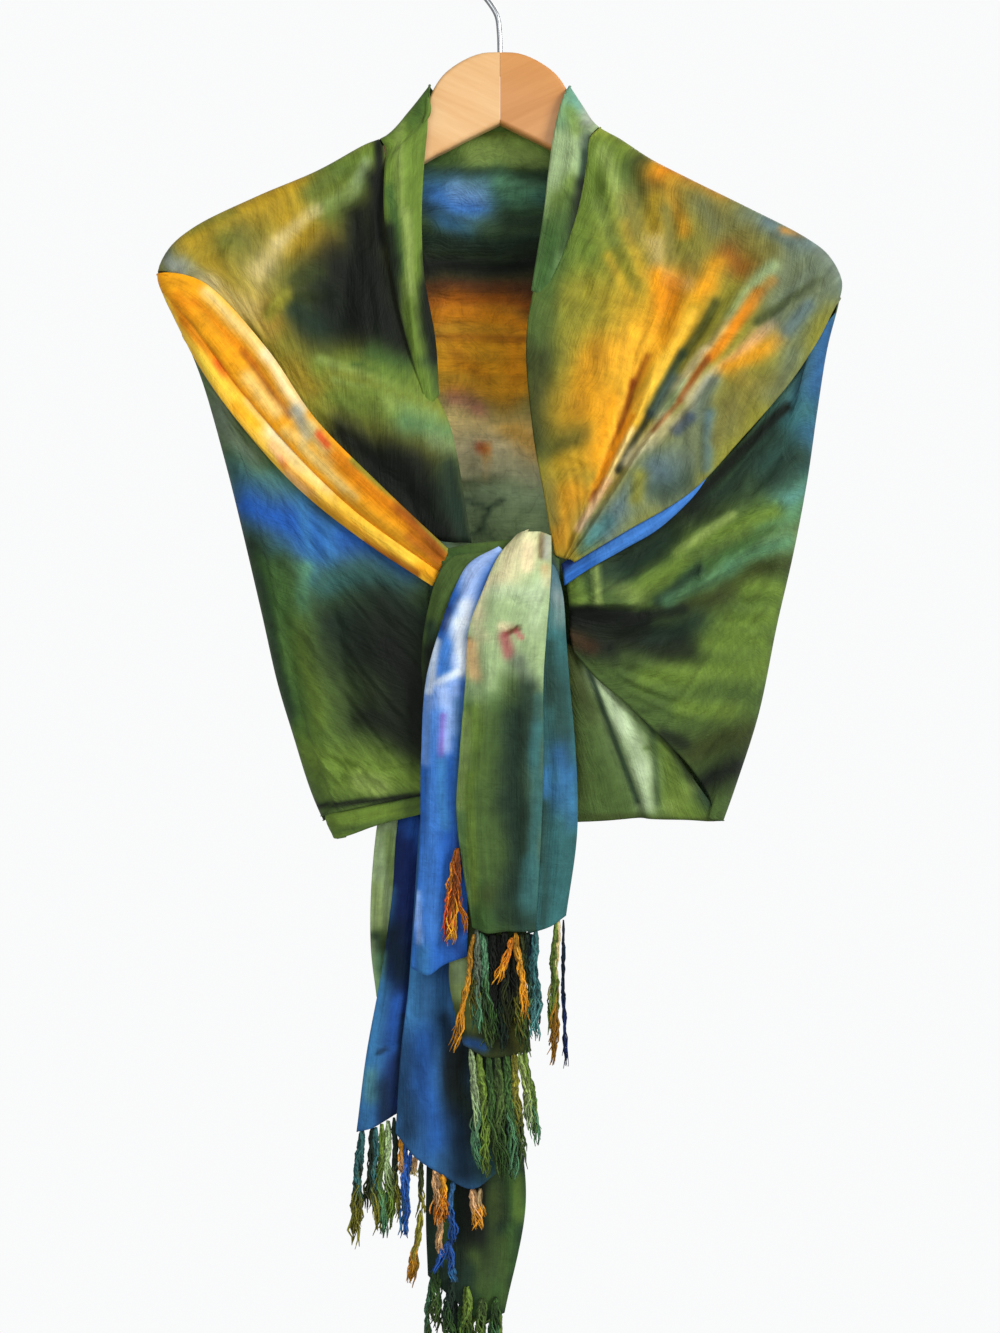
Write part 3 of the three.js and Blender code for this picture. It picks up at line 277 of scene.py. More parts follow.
# Level sections: drop, then how far out the front's middle and side and the back's stand.
SECTIONS = table("""
    0 12 14 -9 -8, 20 12 14.5 -11 -8, 60 13 18 -13 -6, 80 14 26 -14 0, 100 15.5 33 -15 8,
    120 17.5 40.5 -16 14, 140 20 45.5 -16.5 20, 160 22.5 47 -17 23, 220 29 42 -18 16, 280 36 37 -18 8,
    340 40 33 -17 4, 420 37 28 -16 1, 540 31 22 -14 -3""")
ROLL = 12.0  # the cloth rolls over its outline within this distance
CLOTH_THICK = 0.9  # the doubled rayon
RIM_STEPS, SECTION_STEPS = 12, 8  # steps from one row of the outline, and of the sections, to the next
RIM = {}
for side, rows in OUTLINE.items():
    traced = through(rows, [RIM_STEPS] * (len(rows) - 1))
    run = np.gradient(traced[:, :2], axis=0)
    run /= np.linalg.norm(run, axis=1, keepdims=True)
    turn = 1 if side == "left" else -1
    RIM[side] = (traced, np.stack([run[:, 1], -run[:, 0]], axis=1) * turn)
SECTION_LINES = [through([[row[0], row[1 + face * 2], row[2 + face * 2]] for row in SECTIONS],
                         [SECTION_STEPS] * (len(SECTIONS) - 1)) for face in (0, 1)]


def from_rim(side, drop, reaches=(0, 3, 11)):
    """The first places of a fold line that starts on the outline."""
    traced, inward = RIM[side]
    across, step_in, step_down = (np.interp(drop, traced[:, 1], column)
                                  for column in (traced[:, 0], inward[:, 0], inward[:, 1]))
    return [[across + step_in * reach, drop + step_down * reach, 0] for reach in reaches]


def folds(written):
    """Fold lines from a written table: lines are parted by semicolons, places by commas. A place
    is across, drop, and lift or out. One that opens with a side's name lies on the outline at
    that drop, with two more beside it, or alone where the name is in capitals."""
    lines = []
    for line in written.split(";"):
        places = []
        for spot in line.split(","):
            first, *rest = spot.split()
            if first.isalpha():
                at_rim = from_rim(first.lower(), float(rest[0]))
                places += at_rim[:1] if first.isupper() else at_rim
            else:
                places.append([float(first), *map(float, rest)])
        lines.append(places)
    return lines


def on_form(spots, face):
    """Places in space of (across, drop, lift) on the front, face 0, or on the back, face 1."""
    flat = spots.reshape(-1, 3)
    placed = np.empty_like(flat)
    for side in ("left", "right"):
        here = flat[:, 0] < 0 if side == "left" else flat[:, 0] >= 0
        if not here.any():
            continue
        across, drop, lift = flat[here].T
        traced, inward = RIM[side]
        start, run = traced[:-1], np.diff(traced, axis=0)
        rel_a = across[:, None] - start[:, 0]
        rel_d = drop[:, None] - start[:, 1]
        part = (rel_a * run[:, 0] + rel_d * run[:, 1]) / (run[:, 0] ** 2 + run[:, 1] ** 2)
        part = np.clip(part, 0, 1)
        off_a, off_d = rel_a - part * run[:, 0], rel_d - part * run[:, 1]
        best = np.argmin(off_a ** 2 + off_d ** 2, axis=1)
        rows = np.arange(len(best))
        off_a, off_d, part = off_a[rows, best], off_d[rows, best], part[rows, best]
        reach = np.hypot(off_a, off_d)
        rim_out = start[best, 2] + run[best, 2] * part
        near = reach < 0.05
        away = np.maximum(reach, 0.05)
        outward_a = np.where(near, -inward[best, 0], -off_a / away)
        outward_d = np.where(near, -inward[best, 1], -off_d / away)
        level = SECTION_LINES[face]
        middle = np.interp(drop, level[:, 0], level[:, 1])
        edge = np.interp(drop, level[:, 0], level[:, 2])
        half = np.abs(np.interp(drop, traced[:, 1], traced[:, 0]))
        stands = middle + (edge - middle) * np.minimum(1, np.abs(across) / half) ** 2
        turn = np.where(near, 0, np.arccos(np.clip(1 - reach / ROLL, 0, 1)))
        forward, sideways = np.sin(turn), np.cos(turn)
        out = rim_out + (stands - rim_out) * forward + (1 - 2 * face) * lift * forward
        placed[here] = np.stack([across + outward_a * lift * sideways, -out,
                                 WOOD_TOP - drop - outward_d * lift * sideways], axis=1)
    return placed.reshape(spots.shape) / 1000


def hanging(spots):
    """Places in space of (across, drop, out)."""
    across, drop, out = np.moveaxis(spots, -1, 0)
    return np.stack([across, -out, WOOD_TOP - drop], axis=-1) / 1000


def clouds(x, y, seed):
    """Soft random values from -1 to 1 over a plane, the same in every run."""
    table = np.random.default_rng(seed).uniform(-1, 1, (64, 64))
    cell_x, cell_y = np.floor(x).astype(int), np.floor(y).astype(int)
    x, y = x - cell_x, y - cell_y
    x, y = x * x * (3 - 2 * x), y * y * (3 - 2 * y)
    corner = [[table[(cell_x + i) % 64, (cell_y + j) % 64] for j in (0, 1)] for i in (0, 1)]
    low = corner[0][0] * (1 - x) + corner[1][0] * x
    high = corner[0][1] * (1 - x) + corner[1][1] * x
    return low * (1 - y) + high * y


def smooth_step(value):
    value = np.clip(value, 0, 1)
    return value * value * (3 - 2 * value)


def creased(spots, creases):
    """The height of ridges, and of troughs below 0, each from one place to another.
    Columns: across, drop, across, drop, bow, half width, height."""
    rise = np.zeros(spots.shape[:-1])
    for a0, d0, a1, d1, bow, width, height in table(creases):
        run = np.array([a1 - a0, d1 - d0])
        long = np.hypot(*run)
        away = spots[..., :2] - (a0, d0)
        along = away @ run / long ** 2
        off = (away[..., 1] * run[0] - away[..., 0] * run[1]) / long - 4 * bow * along * (1 - along)
        ends = smooth_step(along / 0.25) * smooth_step((1 - along) / 0.25)
        rise += height * ends * np.exp(-np.abs(off / width) ** 1.6)
    return rise


# The dye colours. Some dark ones are also laid as painted shade in folds and gaps, and some pale ones as
# painted highlights along fold ridges.
DYE_AND_SHADE_COLOURS = {
    "leaf": "6a8435", "spring": "94a95c", "moss": "4a612f", "fern": "3f602e", "pine": "1f3226",
    "night": "10150f", "olive": "8d8a32", "mustard": "bb982c", "ochre": "c58b26", "gold": "f6a92c",
    "sun": "ffca48", "butter": "fbdc8e", "cream": "f4e2b4", "straw": "d3c184", "amber": "e08622",
    "rust": "8c4716", "bark": "4a2c17", "ember": "e0552a", "sage": "9fb784", "mint": "c0d4ac",
    "fog": "a0a69c", "slate": "5c7684", "teal": "38696a", "sea": "5f9a98", "royal": "2c5eb0",
    "sky": "4a83d2", "azure": "427fb2", "ice": "a9c3f4", "frost": "e6f0fa", "navy": "17295f",
    "ink": "0f2233", "plum": "7a4aa2", "rose": "bb5560", "sand": "ab9268", "peach": "f0bc84",
    "khaki": "7c7638", "jade": "5c8f68", "loden": "363f1c", "lichen": "6a7864", "steel": "33618f",
}
STRAY, FINE_STRAY = 6, 1.5  # how far a streak strays from its line, in broad and in fine turns
FULL_STRAY, MOST_STRAY = 9, 0.9  # half width that would stray in full, and the most any streak does
CREEP, LEAST_CREEP = 1.15, 0.4  # how a streak creeps past its width
# Narrow streaks end sharper, so the narrow painted fold shadows and highlights among them stay crisp.
SOFT_EDGE, SHARPER, SHARP_BELOW = 1.9, 1.4, 8  # streaks of less than this half width end sharper


def dyes_and_painted_shade(spots, ground, patches, seed):
    """Colour of each place: a ground dye and soft hand-tied streaks of other dyes over it, some of
    which are painted shade in folds and gaps and painted highlights along fold ridges.
    Columns: from across, from drop, to across, to drop, half width, dye, strength."""
    across, drop = spots[..., 0], spots[..., 1]
    slip_a = (STRAY * clouds(across / 31, drop / 31, seed)
              + FINE_STRAY * clouds(across / 11, drop / 11, seed + 1))
    slip_d = (STRAY * clouds(across / 29, drop / 33, seed + 2)
              + FINE_STRAY * clouds(across / 10, drop / 12, seed + 3))
    tint = np.broadcast_to(shade_of(DYE_AND_SHADE_COLOURS[ground]), across.shape + (3,)).copy()
    for a0, d0, a1, d1, reach, dye, strength in table(patches):
        slip = min(MOST_STRAY, reach / FULL_STRAY)
        reach = CREEP * reach + LEAST_CREEP
        x, y = across + slip_a * slip - a0, drop + slip_d * slip - d0
        run_a, run_d = a1 - a0, d1 - d0
        along = np.clip((x * run_a + y * run_d) / max(run_a ** 2 + run_d ** 2, 1e-6), 0, 1)
        far = np.hypot(x - run_a * along, y - run_d * along) / reach
        edge = SOFT_EDGE + SHARPER * max(0, 1 - reach / SHARP_BELOW)
        tint += (shade_of(DYE_AND_SHADE_COLOURS[dye]) - tint) * (strength * np.exp(-0.8 * far ** edge))[..., None]
    return tint


# The cloth's finish: dye taken up unevenly along the threads, fine dark veins where the cloth
# was crumpled in the bath, slubs and a plain weave, and the soft low sheen of rayon.
uptake, uptake_in, uptake_out = new_group(
    "dye_uptake", [("Dye", "Color"), ("Place", "Vector"), ("Veins", "Float")],
    [("Color", "Color"), ("Height", "Float")])
threads = add_node(uptake, "Mapping", Vector=uptake_in.outputs["Place"], Scale=(40, 620, 1))
streaks = add_node(uptake, "TexNoise", {"noise_dimensions": "2D"}, Vector=threads.outputs[0],
                   Scale=1.0, Detail=4.0, Roughness=0.6)
cross = add_node(uptake, "Mapping", Vector=uptake_in.outputs["Place"], Scale=(700, 55, 1))
slubs = add_node(uptake, "TexNoise", {"noise_dimensions": "2D"}, Vector=cross.outputs[0],
                 Scale=1.0, Detail=3.0, Roughness=0.6)
crumple = add_node(uptake, "TexNoise", {"noise_dimensions": "2D"},
                   Vector=uptake_in.outputs["Place"], Scale=46.0, Detail=4.0, Roughness=0.62,
                   Distortion=0.9)
middle = add_node(uptake, "Math", {"operation": "SUBTRACT"}, _0=crumple.outputs[0], _1=0.5)
away = add_node(uptake, "Math", {"operation": "ABSOLUTE"}, _0=middle.outputs[0])
vein = add_node(uptake, "MapRange", {"interpolation_type": "SMOOTHSTEP"}, Value=away.outputs[0],
                From_Min=0.0, From_Max=0.045, To_Min=1.0, To_Max=0.0)
vein_depth = add_node(uptake, "Math", {"operation": "MULTIPLY"}, _0=vein.outputs[0],
                      _1=uptake_in.outputs["Veins"])
mottle = add_node(uptake, "TexNoise", {"noise_dimensions": "2D"},
                  Vector=uptake_in.outputs["Place"], Scale=95.0, Detail=5.0, Roughness=0.65)
sum_one = add_node(uptake, "Math", {"operation": "MULTIPLY_ADD"}, _0=streaks.outputs[0], _1=0.34,
                   _2=mottle.outputs[0])
sum_two = add_node(uptake, "Math", {"operation": "MULTIPLY_ADD"}, _0=slubs.outputs[0], _1=0.22,
                   _2=sum_one.outputs[0])
level = add_node(uptake, "MapRange", Value=sum_two.outputs[0], From_Min=0.45, From_Max=1.1,
                 To_Min=0.74, To_Max=1.26)
veined = add_node(uptake, "Math", {"operation": "MULTIPLY_ADD"}, _0=vein_depth.outputs[0],
                  _1=-0.55, _2=level.outputs[0])
toned = add_node(uptake, "HueSaturation", Color=uptake_in.outputs["Dye"], Saturation=1.02,
                 Value=veined.outputs[0])
uptake.links.new(toned.outputs[0], uptake_out.inputs["Color"])
weave_x = add_node(uptake, "TexWave", {"wave_type": "BANDS", "bands_direction": "X"},
                   Vector=uptake_in.outputs["Place"], Scale=310.0, Distortion=0.6, Detail=1.0)
weave_y = add_node(uptake, "TexWave", {"wave_type": "BANDS", "bands_direction": "Y"},
                   Vector=uptake_in.outputs["Place"], Scale=330.0, Distortion=0.6, Detail=1.0)
weave = add_node(uptake, "Math", {"operation": "MULTIPLY"}, _0=weave_x.outputs[1],
                 _1=weave_y.outputs[1])
thick_part = add_node(uptake, "Math", {"operation": "MULTIPLY_ADD"}, _0=crumple.outputs[0], _1=2.4,
                      _2=streaks.outputs[0])
height = add_node(uptake, "Math", {"operation": "MULTIPLY_ADD"}, _0=weave.outputs[0], _1=0.12,
                  _2=thick_part.outputs[0])
uptake.links.new(height.outputs[0], uptake_out.inputs["Height"])


def rayon_finish(name, veins):
    finish, tree, shader = new_material(name, 0.6, specular=0.14)
    shader.inputs["Sheen Weight"].default_value = 0.04
    shader.inputs["Sheen Roughness"].default_value = 0.45
    dye = add_node(tree, "Attribute", {"attribute_name": "dye"})
    spread = add_node(tree, "UVMap", {"uv_map": "cloth"})
    taken = add_node(tree, "Group", {"node_tree": uptake}, Dye=dye.outputs["Color"],
                     Place=spread.outputs["UV"], Veins=veins)
    bump = add_node(tree, "Bump", Height=taken.outputs["Height"], Strength=0.55, Distance=0.0013)
    tree.links.new(taken.outputs["Color"], shader.inputs["Base Color"])
    tree.links.new(bump.outputs[0], shader.inputs["Normal"])
    return finish


rayon = rayon_finish("dyed_rayon", 0.06)
crackled_rayon = rayon_finish("crackle_dyed_rayon", 0.3)

TUCK = ((180, 7), (180, 2), (150, 0), (115, 0), (80, 0), (40, 0))  # turn in degrees, and run back under
LEAST_ROLL, FLAT_RUN, ROLL_GROWS = 0.1, 3, 14  # the roll beside the outline, and how it grows


def fold_under(sheet, radius, rim):
    """Rows added before the first one, that roll the edge round and tuck it under itself. The
    roll dies out towards an end that lies on the outline, s or e."""
    outward = sheet[0, :, :2] - sheet[1, :, :2]
    outward /= np.maximum(np.linalg.norm(outward, axis=1, keepdims=True), 1e-6)
    run = np.cumsum(np.linalg.norm(np.diff(sheet[0, :, :3], axis=0, prepend=sheet[:1, 0, :3]), axis=1))
    live = np.ones((len(run), 1))
    if "s" in rim:
        live[:, 0] *= LEAST_ROLL + (1 - LEAST_ROLL) * smooth_step((run - FLAT_RUN) / ROLL_GROWS)
    if "e" in rim:
        live[:, 0] *= LEAST_ROLL + (1 - LEAST_ROLL) * smooth_step((run[-1] - run - FLAT_RUN) / ROLL_GROWS)
    added = []
    for turn, back in TUCK:
        row = sheet[0].copy()
        row[:, :2] += outward * (radius * math.sin(math.radians(turn)) - back) * live
        row[:, 2] -= radius * (1 - math.cos(math.radians(turn))) * live[:, 0]
        added.append(row)
    return np.concatenate([np.array(added), sheet])


def fold_edges(sheet, edges, rim, radius):
    """Folds under the first and last line, f and l, and the starts and ends of the lines, s and e."""
    for letter in edges:
        if letter in "se":
            sheet = sheet.transpose(1, 0, 2)
        if letter in "le":
            sheet = sheet[::-1]
        sheet = fold_under(sheet, radius, rim if letter in "fl" else "")
        if letter in "le":
            sheet = sheet[::-1]
        if letter in "se":
            sheet = sheet.transpose(1, 0, 2)
    return sheet


def steps_along(points, axis):
    """How far each point of a grid lies from the first one, measured along its row or column."""
    start = points[:1] if axis == 0 else points[:, :1]
    return np.cumsum(np.linalg.norm(np.diff(points, axis=axis, prepend=start), axis=2), axis=axis)

ROLL_STEPS = 6  # over the first stretch beside the outline


def spread_lines(lines, step, rim):
    """A fine grid of places from fold lines, each a list of [across, drop, lift or out] with
    equally many places; rim names the ends that lie on the outline, s or e."""
    rows = np.array(lines, float)
    runs = np.linalg.norm(np.diff(rows, axis=1), axis=2).mean(axis=0)
    counts = [max(3, round(run / step)) for run in runs]
    if "s" in rim:
        counts[0] = ROLL_STEPS
    if "e" in rim:
        counts[-1] = ROLL_STEPS
    spots = through(rows.transpose(1, 0, 2), counts, "s" in rim, "e" in rim)
    runs = np.linalg.norm(np.diff(spots, axis=1), axis=2).mean(axis=0)
    return through(spots.transpose(1, 0, 2), [max(3, round(run / step)) for run in runs])

RIM_EASE = 16  # the shift onto the outline dies out over this run


def meet_rim(spots):
    """Lays the start of every line exactly on the outline, and eases what follows it along, so
    that front and back meet in one fold down the side."""
    traced = RIM["left" if spots[0, 0, 0] < 0 else "right"][0]
    start, run = traced[:-1, :2], np.diff(traced[:, :2], axis=0)
    off = spots[:, :1, :2] - start
    part = np.clip((off * run).sum(axis=2) / (run ** 2).sum(axis=1), 0, 1)
    off -= part[..., None] * run
    nearest = np.argmin((off ** 2).sum(axis=2), axis=1)
    shift = -off[np.arange(len(nearest)), nearest]
    ease = 1 - smooth_step(steps_along(spots, 1) / RIM_EASE)
    spots[..., :2] += shift[:, None] * ease[..., None]


def make_piece(name, placed, faces, map_name, spread, tint, finish):
    """A mesh with its yarn or cloth map and its dye colours, which on the cloth include painted
    shade and highlights, as an object of its own, ready to work on.
    """
    shape = bpy.data.meshes.new(name)
    shape.from_pydata(placed.reshape(-1, 3), [], faces)
    loops = np.empty(len(shape.loops), int)
    shape.loops.foreach_get("vertex_index", loops)
    flat_map = shape.uv_layers.new(name=map_name).data
    flat_map.foreach_set("uv", spread.reshape(-1, 2)[loops].astype(np.float32).ravel())
    light = as_light(tint).reshape(-1, 3)
    shades = np.concatenate([light, np.ones((len(light), 1))], axis=1)
    paint = shape.color_attributes.new("dye", "FLOAT_COLOR", "POINT")
    paint.data.foreach_set("color", shades.astype(np.float32).ravel())
    piece = bpy.data.objects.new(name, shape)
    bpy.context.collection.objects.link(piece)
    piece.data.materials.append(finish)
    start_clean()
    piece.select_set(True)
    bpy.context.view_layer.objects.active = piece
    return piece


EDGE_ROLL = 1.2  # half thickness of a hem that is folded under
RIM_CALM = 9  # wrinkles start this far from the outline
BROAD_WRINKLE, SHARP_WRINKLE = 0.9, 0.65
CREASE_DEPTH = 1.4
STREAKING = 0.07


def lay_cloth(name, lines, ground, patches, creases="", face="front", step=2.2, rim="", fold="",
              crinkle=0.35, still=6.0, seed=1, finish=rayon):
    """A stretch of the sarong from its fold lines, its dyes with the painted shade and highlights
    among them, and its creases.
    """
    spots = spread_lines(folds(lines) if isinstance(lines, str) else lines, step, rim)
    if "s" in rim:
        meet_rim(spots)
    if "e" in rim:
        meet_rim(spots[:, ::-1])
    run_over, run_on = steps_along(spots, 0), steps_along(spots, 1)
    calm = np.ones(run_on.shape)
    if still:
        calm = smooth_step(np.minimum(run_over, run_over[-1:] - run_over) / still)
    if "s" in rim:
        calm = calm * smooth_step(run_on / RIM_CALM)
    if "e" in rim:
        calm = calm * smooth_step((run_on[:, -1:] - run_on) / RIM_CALM)
    wander = 0.8 * clouds(run_on / 40, run_over / 40, seed + 9)
    small = clouds(run_on / 30, run_over / 6 + wander, seed + 4)
    ridged = 1 - 2 * np.abs(clouds(run_on / 21 + 5, run_over / 4.8 + wander, seed + 5))
    spots[..., 2] += calm * (crinkle * (BROAD_WRINKLE * small + SHARP_WRINKLE * ridged)
                             + CREASE_DEPTH * creased(spots, creases))
    streak = (clouds(run_on / 45, run_over / 2.4, seed + 6)
              + 0.6 * clouds(run_on / 14, run_over / 5, seed + 7))
    tint = np.clip(dyes_and_painted_shade(spots, ground, patches, seed) * (1 + STREAKING * streak[..., None]), 0, 1)
    sheet = fold_edges(np.concatenate([spots, tint], axis=2), fold, rim, EDGE_ROLL)
    spots, tint = sheet[..., :3], sheet[..., 3:]
    placed = hanging(spots) if face == "free" else on_form(spots, 1 if face == "back" else 0)
    rows, columns = placed.shape[:2]
    corner = np.arange(rows * columns).reshape(rows, columns)
    faces = np.stack([corner[:-1, :-1], corner[1:, :-1], corner[1:, 1:], corner[:-1, 1:]], axis=-1)
    normal = np.cross(placed[2:, 1:-1] - placed[:-2, 1:-1], placed[1:-1, 2:] - placed[1:-1, :-2])
    if normal[..., 1].sum() * (1 if face == "back" else -1) < 0:
        faces = faces[..., ::-1]
    down, over = steps_along(placed, 1), steps_along(placed, 0)
    spread = np.stack([down - down[:, columns // 2:columns // 2 + 1],
                       over - over[rows // 2:rows // 2 + 1]], axis=-1)
    piece = make_piece(name, placed, faces.reshape(-1, 4).tolist(), "cloth", spread, tint, finish)
    wall = piece.modifiers.new("wall", "SOLIDIFY")
    wall.thickness = CLOTH_THICK / 1000
    wall.offset = -1
    bpy.ops.object.modifier_apply(modifier="wall")
    bpy.ops.object.shade_smooth()
    return piece


def fasten(piece, node):
    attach(piece, "root")
    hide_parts(node)


# Each level fold line of the back: its drop at the two sides, how much further down its middle
# hangs, and the cloth's lift at five places across, left to right.
BACK_LEVELS = """
    22.2 14 0 0 0 0 0, 40 10 0 .5 0 .5 0, 57 7 .5 0 1 0 .5, 76 6 .5 -1 1 -1 1, 96 5 1 -1 0 -1 1,
    116 5 1.5 -1 1.5 0 1.5, 136 5 2 -1.5 1 -1 2, 155 5 3 -1 2 -1.5 2.5, 178 5 3.5 -1 2.5 -2 3,
    215 4 4 -2 3 -1.5 3.5, 260 4 4 -2.5 3.5 -2 4, 310 3 4 -2 4 -2.5 4.5, 360 2 4.5 -2.5 4 -2.5 4.5,
    410 2 5 -2.5 4.5 -3 4.5, 460 1 5 -3 5 -3 5, 511 1 5 -3 5 -3.5 5"""
BACK_PLACES = [0.16, 0.36, 0.52, 0.68, 0.85]  # where across the width those five places lie
back_lines = []
for drop, sag, *lifts in table(BACK_LEVELS):
    start, end = from_rim("left", drop), from_rim("right", drop)[::-1]
    wide, fall = end[0][0] - start[2][0], end[0][1] - start[2][1]
    back_lines.append(start + [[start[2][0] + wide * part,
                                start[2][1] + fall * part + sag * 4 * part * (1 - part), lift]
                               for part, lift in zip(BACK_PLACES, lifts)] + end)
# Seen through the neck: the folds slung from shoulder to shoulder, then the stretched lower part.
back_creases = """
    -60 60 55 62 -6 5 -2.2, -60 74 55 78 -6 5 2.6, -58 92 50 90 -7 6 -3, -58 106 50 104 -6 4 2.4,
    -60 120 50 122 -5 5 -2.6, -60 138 48 138 -4 7 3.4, -52 156 20 154 -2 3 -1.2, -48 163 24 165 0 2.4 1.1,
    -48 171 24 170 1 2 -.9, -46 178 22 179 0 2 .9, -46 188 24 185 1 2.2 -1.1, -44 207 22 204 1 2.4 1,
    -42 214 20 216 -1 2 -.7, -38 238 24 240 0 3 .8, -34 262 26 258 1 3 -.8, -30 283 24 286 1 2.2 1,
    -28 290 4 286 1 2 -1, -22 300 10 303 -1 3 1.2, -20 311 22 306 1 2.5 -1.2, -20 321 24 324 1 3 1,
    -190 150 -60 300 10 9 3.2, -200 185 -90 360 8 8 -3, 180 150 60 310 -10 9 3.4, 205 190 90 350 -8 8 -3,
    -120 180 -100 480 6 8 3.4, -60 250 -50 490 4 7 -3, 10 300 14 490 -3 8 3, 70 250 62 490 -4 7 -3.2,
    130 200 118 470 -6 8 3.4, -176 126 -84 236 12 6 2.4, 196 148 84 262 -12 6 2.6,
    -150 300 -136 500 3 5 -2.4, 156 330 138 486 -3 5 2.2, -88 330 -78 500 2 5 2.2, 38 350 40 500 2 5 -2.4,
    -24 352 -18 500 1 4 2, 96 320 88 490 -2 4 2, -180 330 -150 420 4 5 2, -150 95 -40 84 6 5 .8,
    150 98 50 92 -6 5 .8"""
# First the bands seen through the neck, then the rest of the back.
back_dyes = """
    -60 56 50 58 10 leaf .95, -20 64 20 68 8 spring .7, -58 66 -30 70 5 moss .5, -60 78 40 80 4 pine .8,
    -50 88 50 92 6 teal .7, -38 92 -18 96 9 sky .95, -28 88 -14 90 5 ice .35, 0 86 14 92 7 jade .8,
    -44 104 -30 110 6 ink .7, -36 110 -24 116 6 azure .7, 0 106 40 108 8 pine .8, -60 122 40 122 6 pine .9,
    -70 138 60 138 10 night 1, -60 154 40 154 6 bark .95, -56 164 36 164 6 rust .9,
    -74 172 34 180 8 amber .9, -60 192 50 194 9 gold .85, -50 187 30 188 2 rust .5,
    -50 206 70 212 10 gold .9, -30 198 -12 214 4 rust .3, 8 198 6 230 9 amber .5, -52 222 30 220 5 gold .7,
    -28 230 -14 234 6 rose .65, -14 236 -10 240 3 rose .65, -64 246 34 250 12 butter .95,
    -30 264 34 266 11 cream .8, 12 250 24 264 7 gold .5, -12 262 -10 263 3 ember .7,
    -8 262 -10 284 2.4 amber .5, -40 278 40 282 7 cream .65, -30 286 -4 286 2 loden .6,
    -30 300 62 294 12 mint .7, -52 316 30 314 13 sage .8, -24 296 -8 303 1.4 pine .45,
    -8 303 2 296 1.2 pine .4, -8 303 -13 317 1.4 pine .5, -13 317 -26 324 1.3 pine .4,
    -13 317 2 326 1.2 pine .35, 2 326 16 318 1.2 pine .3, -40 336 50 332 10 sage .7,
    -46 24 -60 60 14 fern .8, 46 24 60 60 14 jade .7, -100 84 -150 108 16 mustard .8,
    -185 130 -212 150 13 fog .7, -190 168 -150 220 14 gold .9, -160 190 -120 240 6 butter .7,
    -130 250 -80 300 14 amber .75, -175 235 -160 270 14 jade .7, -165 300 -70 330 22 royal .9,
    -130 340 -60 350 12 teal .8, -120 130 -90 190 24 pine .85, -95 210 -60 240 16 spring .6,
    -140 380 -120 440 16 fern .8, -70 380 -50 440 26 night .7, -110 470 -20 480 18 leaf .8,
    100 84 140 108 14 amber .8, 120 130 140 150 16 khaki .8, 190 130 214 152 14 slate .8,
    120 170 80 240 16 gold .85, 150 190 110 240 6 cream .7, 200 170 160 230 16 lichen .8,
    205 210 190 260 14 steel .9, 150 260 90 320 15 slate .7, 120 300 60 340 5 sky .6,
    180 290 160 320 14 teal .7, 150 330 70 360 12 leaf .7, 140 390 60 400 13 night .7,
    170 380 150 440 13 leaf .8, 20 380 30 480 18 teal .5, 90 430 110 490 12 spring .5,
    -10 430 0 490 10 royal .5, 150 470 130 500 10 pine .7"""
back = lay_cloth("back_cloth", back_lines, "moss", back_dyes, back_creases, face="back", step=3.0,
                 rim="se", fold="fl", still=0, seed=11, finish=crackled_rayon)
fasten(back, "back_panel")

# ---------------------------------------------------------------------------------------------
# The left front: the same folded rayon, brought over the wood to the front. Its folded edge
# rolls over the hanger beside the neck as a band, and from there the cloth sinks into one deep
# valley before it is drawn across to the knot.
collar = lay_cloth(
    "left_collar_cloth",
    """LEFT 21.5, -46.6 25 0, -47.8 34 0, -48.5 52 .5, -50.5 78 1, -52 112 1, -50.5 152 1, -43 195 .8,
       -40.5 232 -1.4;
     left 33, -56 62 2, -57 90 2.5, -57.5 122 2.5, -56 160 2.5, -47.5 200 2, -43 235 -1;
     left 45, -66.5 70 3, -66 98 4, -65 130 4, -61 166 4, -53 203 2.4, -45.5 236.5 -1;
     left 58.6, -76 82 1.5, -76.5 106 1.6, -73.5 136 1.6, -67 172 1.2, -58 206 .2, -48 237 -1.6""",
    "leaf",
    # The fern and night streaks down the band's outer edge are partly dye and partly painted shade, and the
    # pale spring streak along its ridge is partly dye and partly painted highlight.
    """-50 26 -56 46 5 fern .6, -53 60 -53 112 4 leaf .6, -65.5 50 -65 112 2.4 spring .55,
     -72 96 -66 150 3 fern .8, -75 122 -62 206 4.2 night .9, -62 112 -58 168 2.6 spring .8,
     -58 168 -54.5 216 2.2 leaf .9, -49 138 -45 166 2.6 night .8, -46 160 -42 206 5.2 night .95,
     -49 210 -40 226 5 pine .6, -54 216 -44 238 6 leaf .9""",
    """-65.5 52 -65 118 0 2.2 1, -62 108 -56 218 -1 2.4 1.5, -69 66 -67.5 128 0 1.8 -.8,
     -58 126 -49 212 0 3 -1.2, -66 140 -60 205 0 2 -.8, -54 44 -54 104 0 2.4 .6""",
    rim="s", fold="f", crinkle=0.2, seed=21)
fasten(collar, "left_collar_band")

